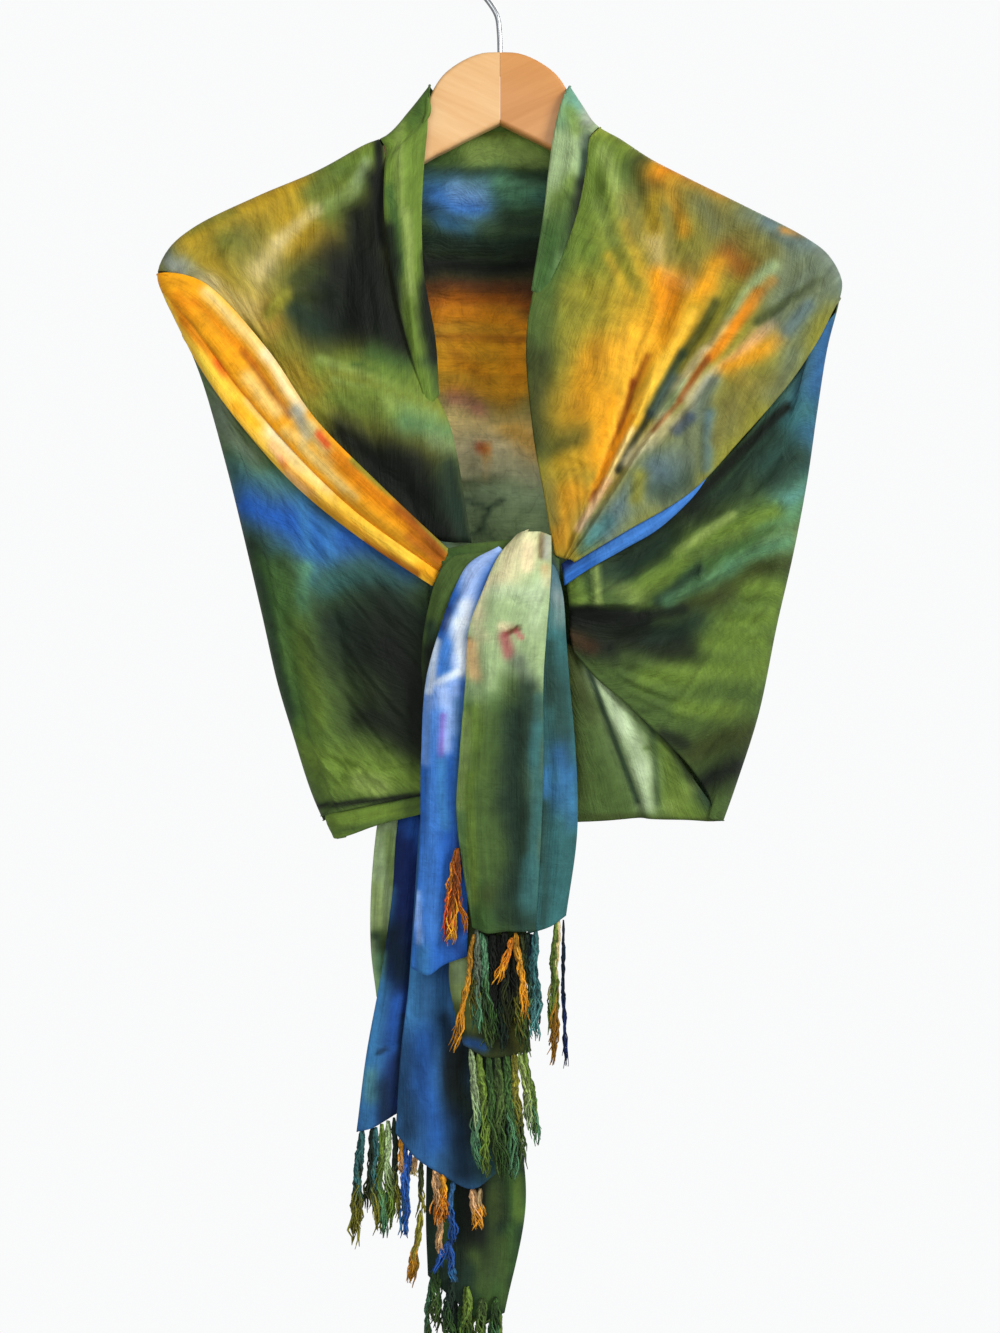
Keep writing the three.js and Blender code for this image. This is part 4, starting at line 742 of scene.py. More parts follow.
left_upper = lay_cloth(
    "left_upper_cloth",
    """left 59, -73 88 -2.4, -71 120 -2.4, -63 165 -2.4, -50 215 -2.2, -33 250 -1.4, -18.5 328.5 -1;
     left 67, -90 105 .5, -86 140 -.5, -80 185 0, -72 225 1.5, -63 262 2, -42 326 -3.4;
     left 81, -112 117 1.5, -108 150 .5, -104 190 0, -98 225 2, -93 253 1, -78 300 -3.4;
     left 91, -135 127 2, -136 150 .5, -132 185 0, -126 210 .5, -121 234 -2.6, -112 272 -3.4;
     left 100, -157 129 1, -157 150 2.5, -153 172 1.5, -149 192 -.5, -144 210 -3.2, -138 235 -3.4;
     left 111, -177 132 0, -176 146 .5, -174 160 0, -170 174 -2.6, -166 187 -3.4, -160 200 -3.4;
     left 124, -196 141 0, -195 148 0, -193 154 -1.5, -190 162 -3.2, -187 168 -3.4, -183 175 -3.4;
     left 140, -206 149 -.6, -204 153 -2, -202 157 -3.2, -200 161 -3.4, -198 165 -3.4, -196 169 -3.4;
     left 152, -209.5 155 -2.8, -208 157 -3.4, -206.5 159.5 -3.4, -205 162 -3.4, -203.5 165 -3.4,
       -202 168 -3.4""",
    "olive",
    # The narrow night line at across -80, drop 56 to 100, is painted shadow in the gap beside the collar
    # band. The night and pine patches near the knot, from drop 256 to 332, are partly black dye and partly
    # painted shade where the cloth turns in under the pleats.
    """-84 66 -120 86 10 leaf .95, -120 100 -108 130 12 olive .7, -132 96 -178 116 13 mustard .95,
     -170 118 -206 134 11 mustard .85, -176 112 -200 122 4 olive .7, -130 88 -150 96 5 mustard .6,
     -102 82 -122 102 5 moss .6, -176 132 -152 124 8 moss .75, -164 126 -150 140 9 khaki .7,
     -174 146 -160 152 8 khaki .5, -150 112 -116 136 10 mustard .7, -136 130 -112 146 12 mustard .95,
     -92 88 -110 112 8 leaf .85, -88 76 -98 98 3 sage .7, -98 98 -120 112 3.4 spring .8,
     -120 111 -146 131 3.4 straw .7, -146 132 -158 152 5.5 straw .7, -158 152 -162 172 8 straw .6,
     -186 146 -172 172 9 mustard .7, -217 138 -207 152 7 lichen .9, -214 146 -206 154 3.4 fog .7,
     -205 146 -186 160 3.4 fog .55, -186 158 -150 190 5 straw .65, -150 184 -120 226 9 ochre .7,
     -140 196 -110 206 10 olive .9, -120 158 -104 172 14 pine .8, -104 150 -84 150 15 night .95,
     -92 112 -84 160 9 night .95, -84 86 -78 130 6 night 1, -112 182 -76 184 17 night 1,
     -90 160 -70 196 16 night 1, -136 178 -122 186 7 pine .85, -80 56 -79 100 2.4 night .95,
     -78 196 -62 204 8 night .85, -134 158 -118 152 4 loden .7, -152 180 -140 168 3.4 olive .9,
     -116 212 -70 220 9 leaf .9, -112 217 -84 223 6 olive .6, -118 208 -46 234 2.2 spring .6,
     -108 222 -42 244 1.8 spring .6, -96 212 -58 222 1.4 fern .6, -72 214 -46 226 9 leaf .85,
     -84 204 -60 210 5 fern .6, -112 236 -60 244 9 leaf .8, -72 238 -46 246 4 spring .6,
     -60 252 -34 254 7 jade .7, -44 262 -30 266 4.5 sage .6, -120 236 -100 250 4 olive .6,
     -104 256 -76 280 9 night .95, -84 276 -46 296 14 night 1, -66 284 -40 318 15 night 1,
     -34 278 -28 304 8 pine .9, -26 304 -22 326 6 pine .95, -40 320 -30 332 8 night 1""",
    """-83 72 -122 112 -2 4 2.2, -112 104 -158 168 -9 6 3, -96 76 -128 100 -2 4 -1.2,
     -134 96 -200 138 3 6 1.2, -150 118 -196 146 2 5 -1.4, -166 120 -176 160 4 5 1.6,
     -150 142 -156 176 3 4 -1.4, -88 92 -100 200 6 12 -5, -118 160 -92 204 4 10 -3.5,
     -156 184 -118 160 -6 4 3.2, -138 184 -116 170 -3 4 -1.6, -180 160 -132 214 2 4 1.2,
     -112 82 -106 94 0 1.6 .9, -119 84 -114 98 0 1.8 .9, -122 92 -118 106 1 1.6 .8,
     -34 244 -112 222 4 3 1.6, -34 247 -100 234 4 2.2 -1.5, -34 250 -96 238 3 2 1.4,
     -33 253 -88 243 2 1.8 -1.3, -32 257 -92 250 3 2.2 1.6, -31 262 -84 258 3 2.4 1.2,
     -31 259 -70 252 1 1.3 -.8, -40 236 -96 229 5 2 -1, -124 232 -92 258 3 3 1.4, -98 262 -40 322 -3 12 -4""",
    rim="s", crinkle=0.8, seed=31)
fasten(left_upper, "left_front_upper")

# Two long pleats, stretched from the shoulder tip to the knot, their edges folded under.
pleat = lay_cloth(
    "left_pleat_upper_cloth",
    """left 153.5, -192 161 1.4, -152 203 1.4, -121 248 1.4, -80 290 1.4, -33.5 334 2;
     left 156.5, -194 164 2.8, -155 209 3.1, -124 253 3.1, -83 294 3.2, -35 338 4;
     LEFT 159.5, -219 160.8 .2, -212 164 .8, -197 172.5 1.8, -159 216 1.8, -128 258 1.8, -87 298 1.8,
       -36.5 341 2.5;
     LEFT 162, -218.4 164.2 .4, -212 169 1.6, -199 180 3, -165 222 3.4, -133 262 3.4, -91 303 3.4,
       -38 344 3.6;
     LEFT 164.5, -217.6 167 .2, -212 172.5 .8, -201 185 1, -170 227 1, -137 266 1, -95 307 1,
       -39.5 347 1.8""",
    "gold",
    # The butter and cream streaks along the pleat's folded top edge, from the shoulder to about drop 245, are
    # partly dye and partly painted highlight.
    """-220 156 -208 162 4 gold .9, -190 165 -154 208 3.2 butter .9, -154 207 -130 242 3.2 cream .85,
     -198 172 -160 214 2 amber .9, -168 206 -138 245 1.8 rust .75, -208 168 -196 184 3 amber .6,
     -196 180 -166 220 3.4 gold .9, -166 222 -146 243 3.6 butter .75, -134 243 -126 258 3.6 fog .85,
     -140 256 -130 262 3 butter .6, -124 254 -108 274 3.5 straw .8, -118 258 -112 265 1.8 ember .85,
     -106 272 -60 317 4.5 amber .95, -128 266 -96 298 2.8 straw .7, -100 298 -56 334 2.4 ochre .7,
     -66 308 -40 336 4.5 rust .85, -60 326 -40 343 3 rust .6, -96 274 -62 305 1.5 olive .9,
     -62 305 -33 334 2 leaf .85""",
    """-188 164 -130 244 0 2 .9, -112 262 -50 322 0 1.8 .6""",
    rim="s", fold="f", crinkle=0.16, still=3.0, step=2.0, seed=41)
fasten(pleat, "left_pleat_upper")
pleat = lay_cloth(
    "left_pleat_lower_cloth",
    """LEFT 165, -217.4 167.4 0, -211.4 172 0, -199.8 183.4 -.4, -168.4 225.8 -.4, -135.6 265 -.4,
       -93.6 306 -.4, -39 346.4 .6;
     LEFT 174, -214 176.6 .4, -209.6 182.4 1, -200 195 1.8, -174 236 3.6, -140 274 3.6, -94 314 3.6,
       -41 351 3.4;
     LEFT 183, -210 186 .4, -206.4 192.2 .8, -198.6 203 1.4, -176 241 3.4, -139 281 3.2, -92 319 3,
       -42 353 3;
     LEFT 193, -204.6 196.5 .2, -202 202 .4, -197 210.5 .6, -173 246 1, -133 291 1, -88 327 1,
       -43.5 355.5 1.4""",
    "sun",
    """-212 172 -203 186 1.6 amber .8, -205 183 -180 214 2 amber .9, -184 211 -178 219 1.6 ember .6,
     -178 216 -156 242 1.8 amber .75, -172 240 -158 252 3 gold .8, -164 236 -146 258 2.2 butter .6,
     -148 258 -128 276 5 cream .9, -142 274 -139 278 1.5 ember .9, -148 266 -140 276 2 peach .8,
     -139 279 -122 294 2.4 amber .6, -130 276 -106 297 4.5 butter .95, -106 299 -76 322 3 sun .9,
     -76 324 -48 344 4 sun 1, -50 346 -42 352 4 gold .9, -138 284 -120 300 2.2 peach .7,
     -122 300 -96 320 2.6 ochre .85, -96 318 -66 340 1.8 ochre .8, -88 328 -54 349 1.8 rust .7""",
    """-204 188 -150 258 0 2 -.8, -120 296 -64 338 0 1.6 -.8""",
    rim="s", fold="l", crinkle=0.16, still=3.0, step=2.0, seed=51)
fasten(pleat, "left_pleat_lower")

# Below the knot the front hangs free from the side fold to the middle, and under its hem the
# second layer of the folded sheet shows as a strip.
left_lower = lay_cloth(
    "left_lower_cloth",
    """LEFT 202, -199.2 207 -2, -194 214 -3.4, -186 220 -4.4, -165 243 -4.4, -133 281 -4.4, -88 317 -4.4,
       -45.5 347 -4.4;
     LEFT 226, -191.5 228 -1.6, -185.5 233.5 -2.6, -178 243 -2.6, -155 270 -2.6, -128 303 -2.6,
       -86 336 -2.6, -46 367 -3;
     left 275, -163 285 0, -140 310 0, -115 335 .5, -80 360 0, -44 385 -2;
     left 330, -151 337 1, -130 350 3, -105 364 0, -75 385 -.5, -42 405 -2;
     left 390, -139 394 0, -123 400 3, -100 410 0, -72 420 -1, -40 430 -2;
     left 440, -126 444 1, -113 448 2, -92 452 -1, -68 456 -1, -38 460 -2;
     left 476, -114 480 1.5, -103 480 0, -86 479 1, -64 477 -.5, -36 474 -2;
     left 508, -106 503 1, -97 501 .5, -82 498 .5, -62 494 0, -35 489 -2""",
    "moss",
    """-200 205 -178 250 7 lichen .7, -184 248 -166 268 8 lichen .8, -176 278 -160 292 7 teal .5,
     -150 284 -130 300 6 sea .6, -168 304 -128 322 13 royal 1, -130 320 -60 338 13 royal .95,
     -128 300 -124 350 4 azure .7, -114 318 -112 338 5 azure .55, -140 330 -150 336 5 steel .6,
     -162 336 -150 350 8 pine .95, -150 350 -140 372 10 fern .9, -144 372 -132 450 12 fern .9,
     -158 350 -138 440 3.5 pine .6, -128 345 -126 380 4.5 jade .8, -126 380 -118 440 7 leaf .85,
     -112 352 -70 356 8 teal .85, -104 376 -90 392 13 pine .95, -76 368 -50 380 10 pine .95,
     -74 392 -48 450 25 night 1, -88 440 -50 462 9 night .8, -130 462 -76 480 13 leaf .9,
     -100 482 -44 484 9 leaf .85, -90 484 -78 488 5 spring .8, -122 500 -50 493 1.4 night .85""",
    """-132 340 -112 490 -4 6 2, -146 360 -126 480 -3 5 -1.8, -154 320 -138 450 -3 4 1.2,
     -112 352 -96 470 -2 6 -1.8, -110 314 -108 344 3 5 1, -86 360 -78 470 0 7 1.2, -60 365 -56 470 0 6 -1.2,
     -100 466 -80 480 1 2 1.8, -102 470 -82 476 1 1.6 -1.8, -118 468 -102 486 1 2 1.8,
     -112 466 -98 478 0 1.6 -1.5, -104 484 -88 470 1 1.8 1.6, -92 474 -72 490 -1 2 1.8,
     -84 466 -66 460 1 1.8 -1.6, -80 476 -54 470 -1 2 1.6, -74 484 -48 480 1 1.8 -1.4,
     -110 492 -92 486 1 1.6 1.3, -130 462 -70 470 2 2 .8, -124 476 -64 486 -2 2.4 1,
     -118 490 -60 480 2 2 -.9, -92 480 -40 488 -2 2.2 .9, -122 410 -86 414 0 1.6 -.4""",
    rim="s", fold="l", crinkle=0.7, seed=61)
fasten(left_lower, "left_front_lower")
hem_layer = lay_cloth(
    "left_hem_cloth",
    """-113 484 -3.1, -98 485 -3.1, -80 483 -3.6, -37 474 -5.1;
     -115.5 498 -2.3, -99 497 -2.7, -80 493 -2.7, -36 484 -4.7;
     -115.5 510 -1.1, -100 508.5 -1.5, -80 503.5 -1.7, -35 493 -4.1;
     -109.5 521.5 -.5, -98 518 -.7, -80 511.5 -1.1, -34 500 -3.7""",
    "leaf",
    """-114 500 -40 490 3 pine .8, -112 518 -60 509 2 moss .8, -60 503 -36 496 5 moss .7""",
    """-104 506 -60 500 1 2 .7""", fold="lse", crinkle=0.3, still=0, seed=71)
fasten(hem_layer, "left_hem_layer")

# ---------------------------------------------------------------------------------------------
# The right front: its folded edge also rolls over the hanger as a band and then runs free to the
# knot, and the cloth beside it is gathered into a fan of pleats between shoulder and knot.
collar = lay_cloth(
    "right_collar_cloth",
    """RIGHT 23, 44 28 0, 41.2 37 0, 36.5 57 .5, 33 82 1, 30 108 1, 24.6 142 0, 21.4 162 -1.2;
     right 32, 45 62 2.5, 41.5 86 3, 36.6 112 2.6, 28.8 144 .4, 23.4 163 -1;
     right 40, 51.5 68 3.2, 48 91 3.4, 42 115 2.8, 33.6 145 .4, 25.6 164 -1;
     right 50.6, 57.5 74 1.6, 54 96 1.4, 48.5 118 .8, 37.6 146 -.6, 28 165 -1.6""",
    "sage",
    # The pine and night streak down the band's right edge, from drop 62 to 134, is painted shadow of the
    # band's fold.
    """48 25 52 36 6 sea .7, 45 30 40 50 5 jade .5, 46 42 50 56 4 leaf .6, 60 40 59 48 4 fog .8,
     46 92 40 104 5 leaf .8, 34 104 32 124 5 leaf .7, 44 104 38 128 5 moss .9, 58 62 54 92 3 pine .9,
     54 92 45 134 4 night .9, 30 124 26 160 9 fern 1, 56 52 55 66 2.4 lichen .6""",
    """52 58 44 112 1 3 1, 46 50 36 104 1 2.6 -.8, 40 54 33 118 1 2.6 .7, 58 42 61 50 0 2 1,
     54 46 58 52 0 1.6 -.8, 47 96 38 134 0 2.4 -1, 42 100 40 128 0 1.6 .8, 52 72 46 90 0 1.6 .6""",
    rim="s", fold="f", crinkle=0.3, seed=81)
fasten(collar, "right_collar_band")

fan = lay_cloth(
    "right_fan_cloth",
    """right 51, 52 95 -2.4, 30.5 136 -2.2, 18.5 190 0, 22 252 0, 30 300 1.2, 36.5 337 2.4;
     right 59, 70 105 .5, 57 150 0, 44 205 0, 40 258 .5, 38.5 302 2, 38 337.5 2.4;
     right 73, 93 108 -.6, 82 155 2, 70 210 2, 58 262 2, 47 304 2.4, 39.5 338 2.4;
     right 89, 121 126 0, 106 170 -1, 88 222 -2, 72 270 -1.2, 53 308 .4, 41 338 1.6;
     right 100, 139 136 1, 122 178 2, 97 230 4, 76 273 4, 56 312 4, 42.5 338.4 3;
     right 111, 157 146 -.6, 137 182 -1.2, 107 233 -2, 81 278 -1.6, 58.5 315 -.6, 43.7 338.8 1;
     right 121, 177 152 2, 150 187 3, 119 232 4, 88 275 4, 61 317 3, 44.8 339 2.4;
     right 131, 189 158 0, 161 190 -.6, 126 235 -.8, 93 278 -.6, 65 319 .4, 45.6 339.3 1.4;
     right 144, 198 166 2, 171 196 2.5, 134 239 3, 99 281 2.5, 69 321 2, 46.2 339.6 1.6;
     RIGHT 158, 219.6 161.5 0, 214 168.5 .2, 203 182 .4, 180 210 1, 146 249 1, 112 285 .6, 76 319 .6,
       46.8 340 1.2;
     RIGHT 169, 218.6 173.4 .2, 214.2 181 .4, 205.4 197.4 .8, 188 223 1, 157 259 1, 124 294 1, 82 320 1,
       47.4 340.5 1.2""",
    "olive",
    # Along the fan's radiating pleats, the narrow dark streaks (rust, loden, pine and night lines about 1 to
    # 3 mm wide) are partly dye and partly painted shadow beside the pleat ridges, and the narrow pale strips
    # along the ridges (sun, butter, peach, sage and cream) are partly dye and partly painted highlight.
    """58 66 66 100 14 leaf .95, 70 68 92 84 9 leaf .8, 52 108 58 134 13 leaf .9, 40 138 50 160 11 leaf .8,
     34 130 26 172 8 fern 1, 24 172 20 205 9 moss .95, 20 205 24 262 9 loden .95, 66 68 78 92 4 spring .75,
     78 90 86 116 4 spring .75, 66 104 76 130 3 spring .5, 86 118 94 150 4 mustard .8,
     72 140 84 166 3 mustard .6, 50 162 92 172 12 mustard .5, 44 170 60 196 10 olive .6,
     84 82 94 102 5 moss .7, 93 78 102 96 6 loden .9, 88 102 97 128 7 khaki .85,
     104 102 104 134 5 mustard .9, 104 130 106 150 5 straw .75, 104 82 124 90 6 gold .85,
     112 86 142 97 8 amber 1, 113 90 118 122 4 gold .95, 109 110 113 142 3 khaki .8,
     128 104 150 130 15 khaki .85, 132 108 140 118 6 lichen .5, 150 108 170 120 9 khaki .6,
     124 140 134 154 9 khaki .85, 108 153 126 160 4 fog .55, 164 112 196 128 10 lichen .9,
     176 120 188 134 6 slate .7, 186 126 197 128 3 amber .7, 160 128 178 142 7 khaki .8,
     196 140 180 160 9 lichen .8, 206 136 222 160 9 slate .8, 208 140 218 152 5 fog .5,
     150 138 160 150 7 rust .65, 142 146 138 160 6 gold .75, 104 152 104 180 5 gold .95,
     116 156 104 196 8 amber .85, 134 162 118 184 6 gold .85, 126 176 108 208 5 mustard .95,
     104 184 92 214 5 ochre .9, 92 196 62 232 17 gold 1, 88 198 72 236 11 sun .6,
     70 230 52 286 11 mustard .9, 60 208 52 244 10 ochre .8, 72 240 60 282 11 gold .9,
     48 262 36 266 7 loden .6, 46 276 54 282 6 mustard .8, 40 284 60 286 4 olive .6,
     48 292 40 322 9 ochre .9, 32 290 34 310 5 khaki .7, 96 206 88 224 1.4 rust .6,
     87.5 222 78.5 252 1.8 rust .95, 78.5 252 60 300 1.4 rust .85, 82 228 66 282 2.4 sun .55,
     110 206 88 254 3.4 sun .8, 86 256 72 286 2.6 butter .9, 70 288 52 318 2.2 peach .9,
     141 172 120 204 2.4 loden .7, 120 204 99 243 2.6 pine .8, 99 243 77 281 1.6 night .8,
     126 178 86 246 2.2 sun .75, 86 246 62 290 1.8 gold .9, 116 222 104 244 4 slate .6,
     176 150 152 182 3.6 sage .85, 150 186 136 202 3.6 straw .85, 134 202 118 228 3 cream .7,
     122 226 106 248 3 sage .8, 108 248 84 276 3.4 cream .75, 176 160 154 186 3 amber .5,
     168 168 138 206 3 amber .9, 136 208 118 236 1.8 rust .9, 118 236 100 256 1.2 rust .7,
     176 186 148 212 3.6 peach .95, 142 216 126 236 3.4 cream .8, 126 240 98 266 3.4 straw .8,
     180 194 150 214 4.5 gold .95, 150 220 160 224 5 ochre .5, 206 152 180 178 8 lichen .9,
     206 160 168 184 2 loden .7, 212 166 190 190 8 lichen .8, 200 178 186 190 4 slate .6,
     186 206 174 226 8 lichen .8, 166 222 150 240 9 khaki .8, 152 236 150 256 6 khaki .6,
     140 224 128 246 4 slate .6, 134 252 112 276 10 lichen .75, 137 246 133 280 3 steel .5,
     146 240 140 262 4 khaki .7, 120 276 108 300 10 lichen .5, 104 282 70 316 10 slate .85,
     118 286 104 294 6 pine .5, 92 286 90 300 4 olive .8, 124 248 116 256 3 navy .5,
     72 312 54 330 4 teal .6, 64 318 58 326 2.4 sea .6""",
    """96 200 50 326 -2 2.6 -2.8, 106 206 55 322 -1 3 2.2, 158 148 51 324 2 2.6 -3, 168 158 57 322 2 3 2.4,
     148 190 62 306 1 2 -2, 176 182 66 310 0 3 1.8, 118 156 100 200 2 3 -1.4, 126 160 108 206 2 3 1.4,
     148 136 126 172 2 3 1.4, 68 66 98 168 7 4.5 1.8, 62 72 90 168 8 3.5 -1.2, 84 76 104 130 2 4 -1.4,
     104 92 104 168 0 4 1.6, 112 96 118 160 1 3.5 -1.4, 120 96 134 150 1 4 1, 52 120 62 176 3 3 -.8,
     124 132 106 160 3 2 1, 120 128 130 148 1 1.6 .8, 108 170 90 210 1 3 1.2, 100 176 84 218 1 2.6 -1.2,
     34 250 66 246 1 2.2 -.8, 34 258 64 262 1 2 .8, 36 268 62 276 1 1.8 .8, 30 200 40 300 3 4 -1.2,
     170 120 196 136 1 3 1, 184 120 206 142 1 2.4 -.9, 150 110 172 146 2 4 1, 204 164 166 186 1 2.6 -1.6,
     210 172 160 214 2 4 1.2, 190 196 140 244 2 4 1.2, 176 214 120 262 2 4 -1.4, 136 244 132 288 1 3 1.2,
     126 246 104 296 1 4 -1.2, 120 268 70 312 1 4 1, 100 290 60 326 0 3 -1, 92 284 90 302 0 3 .8,
     136 208 104 254 0 1.6 -1.2, 60 304 46 330 0 2 .7""",
    rim="s", fold="fl", crinkle=0.75, step=1.7, seed=91)
fasten(fan, "right_front_upper")

# The rolled edge that shows below the fan.
edge_band = lay_cloth(
    "right_edge_cloth",
    """147 263 -3, 132.5 279.6 -2.8, 123.2 289.4 -2.6, 98 303 -2.7, 75 317 -2.7, 52 333 -2.6, 40 342 -2.4;
     147.3 263.4 -2.9, 133.2 281 -2.6, 124.4 291.6 -2.2, 101 311 -1.6, 79 324.6 -1.4, 56 338.6 -1.4,
       40.8 347.4 -1.2;
     147.6 263.8 -2.8, 134 282.4 -2.2, 125.4 293.6 -1.2, 102 314 .8, 80 327.6 1, 57 341.2 1, 41.2 350.6 .8;
     147.9 264.2 -3, 134.8 284 -2.8, 126.4 296 -1.8, 103 318 -.8, 81 331 -.8, 58 344 -.8, 41.8 355 -.6""",
    "sky",
    """120 292 42 343 2.4 navy .95, 60 344 42 354 4 royal .7, 80 318 50 336 1.5 ink .5""",
    """110 306 50 342 0 1.6 .6""", fold="l", crinkle=0.12, still=0, step=1.8, seed=101)
fasten(edge_band, "right_edge_band")

# Below the knot: soft swags from the side fold to the knot, and under their free edge the second
# layer of the folded sheet, down to its hem.
swags = lay_cloth(
    "right_lower_cloth",
    """RIGHT 178, 216.4 183 -1.8, 208.5 192.5 -3.2, 194 211 -4.4, 178 236 -4.4, 148 271 -4.8, 110 302 -6.4,
       76 326 -6.6, 43 350 -6.2;
     right 206, 193 228 -2.4, 175 251 -2.6, 147 285 -3.2, 110 315 -4.8, 77 337 -4.8, 43.5 357 -4.6;
     right 240, 184 262 0, 164 286 0, 138 311 1, 106 334 0, 77 350 0, 44 362 -1;
     right 273, 179 292 1, 160 308 2, 135 328 5, 105 347 6, 76 361 6, 44.5 366 3;
     right 300, 177 312 0, 158 322 1, 133 338 3, 107 357 3, 78 371 3, 44.8 371 1;
     right 318, 172 326 2, 150 340 2.5, 129 352 2, 106 367 -1, 75 378 -2.4, 45 376 -3;
     right 336, 168 341 0, 150 350 1, 130 361 1, 108 374 -1, 75 385 -3, 45.2 381 -3;
     right 366, 162 370 -1, 146 378 -1, 124 388 -2, 100 393 -3, 72 395 -3, 45.5 386 -3;
     right 400, 156 403 1, 141 405 1, 121 409 0, 97 410 0, 70 405 -1, 46 390 -2;
     right 440, 150 442 1, 137 441 1, 117 436 .5, 92 425 0, 68 411 -1, 46.5 393 -2;
     right 474, 140 474 0, 130 464 0, 111 450 0, 88 431 0, 66 414 -1, 47 395 -2;
     right 511, 139 498 -.5, 126 475 0, 106 454 0, 84 433 0, 64 416 -.5, 47.5 398 -2""",
    "moss",
    # The night streaks just under the soft fold at the knot, from across 44 to 120 at drop 370 to 380, are
    # partly black dye and partly painted shadow under that fold.
    """214 186 196 250 13 steel 1, 206 250 200 270 7 azure .5, 196 240 176 262 9 teal .9,
     204 276 170 276 9 teal .85, 194 272 160 296 7 pine .85, 176 262 130 304 8 pine .9,
     186 240 128 298 2.4 night .9, 206 292 176 300 6 sea .8, 198 304 170 314 6 jade .75,
     166 300 140 312 7 moss .7, 130 306 80 338 9 night .8, 110 330 66 352 8 pine .85,
     176 306 128 330 5 leaf .9, 150 310 116 336 2.4 spring .7, 120 342 90 360 6 leaf .9,
     46 350 50 368 5 leaf .8, 62 344 63 370 2 spring .85, 72 356 90 366 5 spring .5,
     84 350 74 352 5 pine .6, 176 320 120 352 3 fern .8, 130 346 104 366 3 pine .8,
     198 320 176 330 6 sage .55, 186 326 150 344 5 jade .85, 148 346 112 366 4 jade .8,
     190 340 168 348 6 loden .7, 168 348 126 368 6 loden .95, 44 374 96 377 3 night 1,
     44 380 96 380 4 night 1, 96 376 120 370 3 night .8, 50 388 120 386 7 night .85,
     130 376 100 392 6 pine .8, 60 398 124 398 7 night .85, 46 390 60 398 4 bark .6,
     184 362 160 360 6 leaf .9, 182 380 150 380 8 leaf .9, 170 394 140 392 6 leaf .8,
     174 410 100 412 8 leaf .9, 96 404 84 402 5 moss .6, 120 434 160 440 5 leaf .9,
     166 440 150 452 5 moss .7, 166 452 124 462 7 loden .95, 156 474 134 486 8 night .95,
     118 456 108 452 4 night .7""",
    """204 232 150 300 4 6 1.2, 200 258 160 300 4 5 -1.4, 198 282 140 322 5 5 1.4, 190 300 120 344 4 4 -1.6,
     164 304 100 350 6 6 2, 120 318 70 352 3 8 -3, 50 346 50 374 0 2.2 1.4, 57 348 57 374 0 2 -1.2,
     63 344 63 372 0 2.4 1.4, 196 316 120 364 6 4 2.2, 188 330 130 366 6 5 -2, 133 334 130 354 1 1.6 1.4,
     130 334 140 342 0 1.4 1, 186 344 140 366 4 6 -1.8, 182 358 156 362 0 2.6 1.6,
     182 368 150 368 0 2.4 -1.2, 180 374 146 372 0 2.4 1.4, 178 381 140 380 0 2.2 -1.2,
     178 388 140 384 0 2.4 1.2, 172 396 130 394 0 2.6 -1, 130 386 60 392 0 6 -2.6, 46 370 92 370 -2 1.8 2.2,
     46 374 100 373 -2 2.2 -2.4, 92 370 150 344 3 2.2 1.8, 186 336 120 362 5 2.4 1.6,
     60 358 108 340 3 2.2 1.4, 76 402 140 416 2 2.4 1, 70 406 130 424 2 2.2 -1, 72 411 130 432 2 2.4 1.2,
     76 417 140 440 2 2 -1, 82 424 140 446 2 2.2 1, 160 404 172 430 0 3 1, 96 404 160 412 0 3 -1,
     120 420 168 418 0 3 .9, 112 434 160 434 1 2.6 1, 150 450 128 470 1 4 -1.6, 162 446 140 486 2 4 1.2""",
    rim="s", fold="l", crinkle=0.7, seed=111)
fasten(swags, "right_front_lower")
inner_layer = lay_cloth(
    "right_inner_cloth",
    """32 388 -5.6, 34 425 -5.2, 36 468 -4.6, 38 510 -4.2;
     44 394 -4.6, 52 430 -3.6, 62 470 -3.6, 71 508.5 -3.6;
     50 396 -5.6, 62 430 -5.6, 77 464 -5.6, 92 507 -5.6;
     55 398 -4.6, 69 433 -2.2, 84 466 -1.6, 97 507.5 -2.6;
     60 402 -5, 83 438 -4.1, 98 467 -4.1, 104 508 -4.6;
     66 407 -5.6, 96 447 -3.6, 115 474 -2.6, 124 508.5 -3;
     72 412 -4.6, 108 455 -2.6, 128 484 -2, 147 510.6 -1""",
    "moss",
    """36 386 50 398 5 bark .6, 34 395 40 480 9 loden .9, 46 400 58 440 5 loden .8, 52 440 76 500 8 moss .6,
     62 412 82 446 5 mint .8, 80 442 93 478 8.5 mint .8, 92 474 96 500 5.5 mint .75,
     57 408 90 498 1 pine .7, 94 462 112 462 1 moss .6, 70 408 99 444 2 night .85,
     100 446 104 498 1.8 pine .6, 110 464 118 500 8 leaf .85, 112 498 128 488 5 spring .5,
     118 490 132 506 6 leaf .7, 112 456 136 484 5 night .85, 136 492 148 508 5 pine .85,
     40 506 140 510 1.6 loden .6""",
    """40 396 50 500 0 4 -1, 60 420 84 500 0 3 -1, 92 450 96 504 0 3 .8, 106 470 110 506 0 3 -.8,
     120 484 126 508 0 3 .8""",
    fold="e", crinkle=0.6, still=0, step=1.8, seed=121)
fasten(inner_layer, "right_inner_layer")

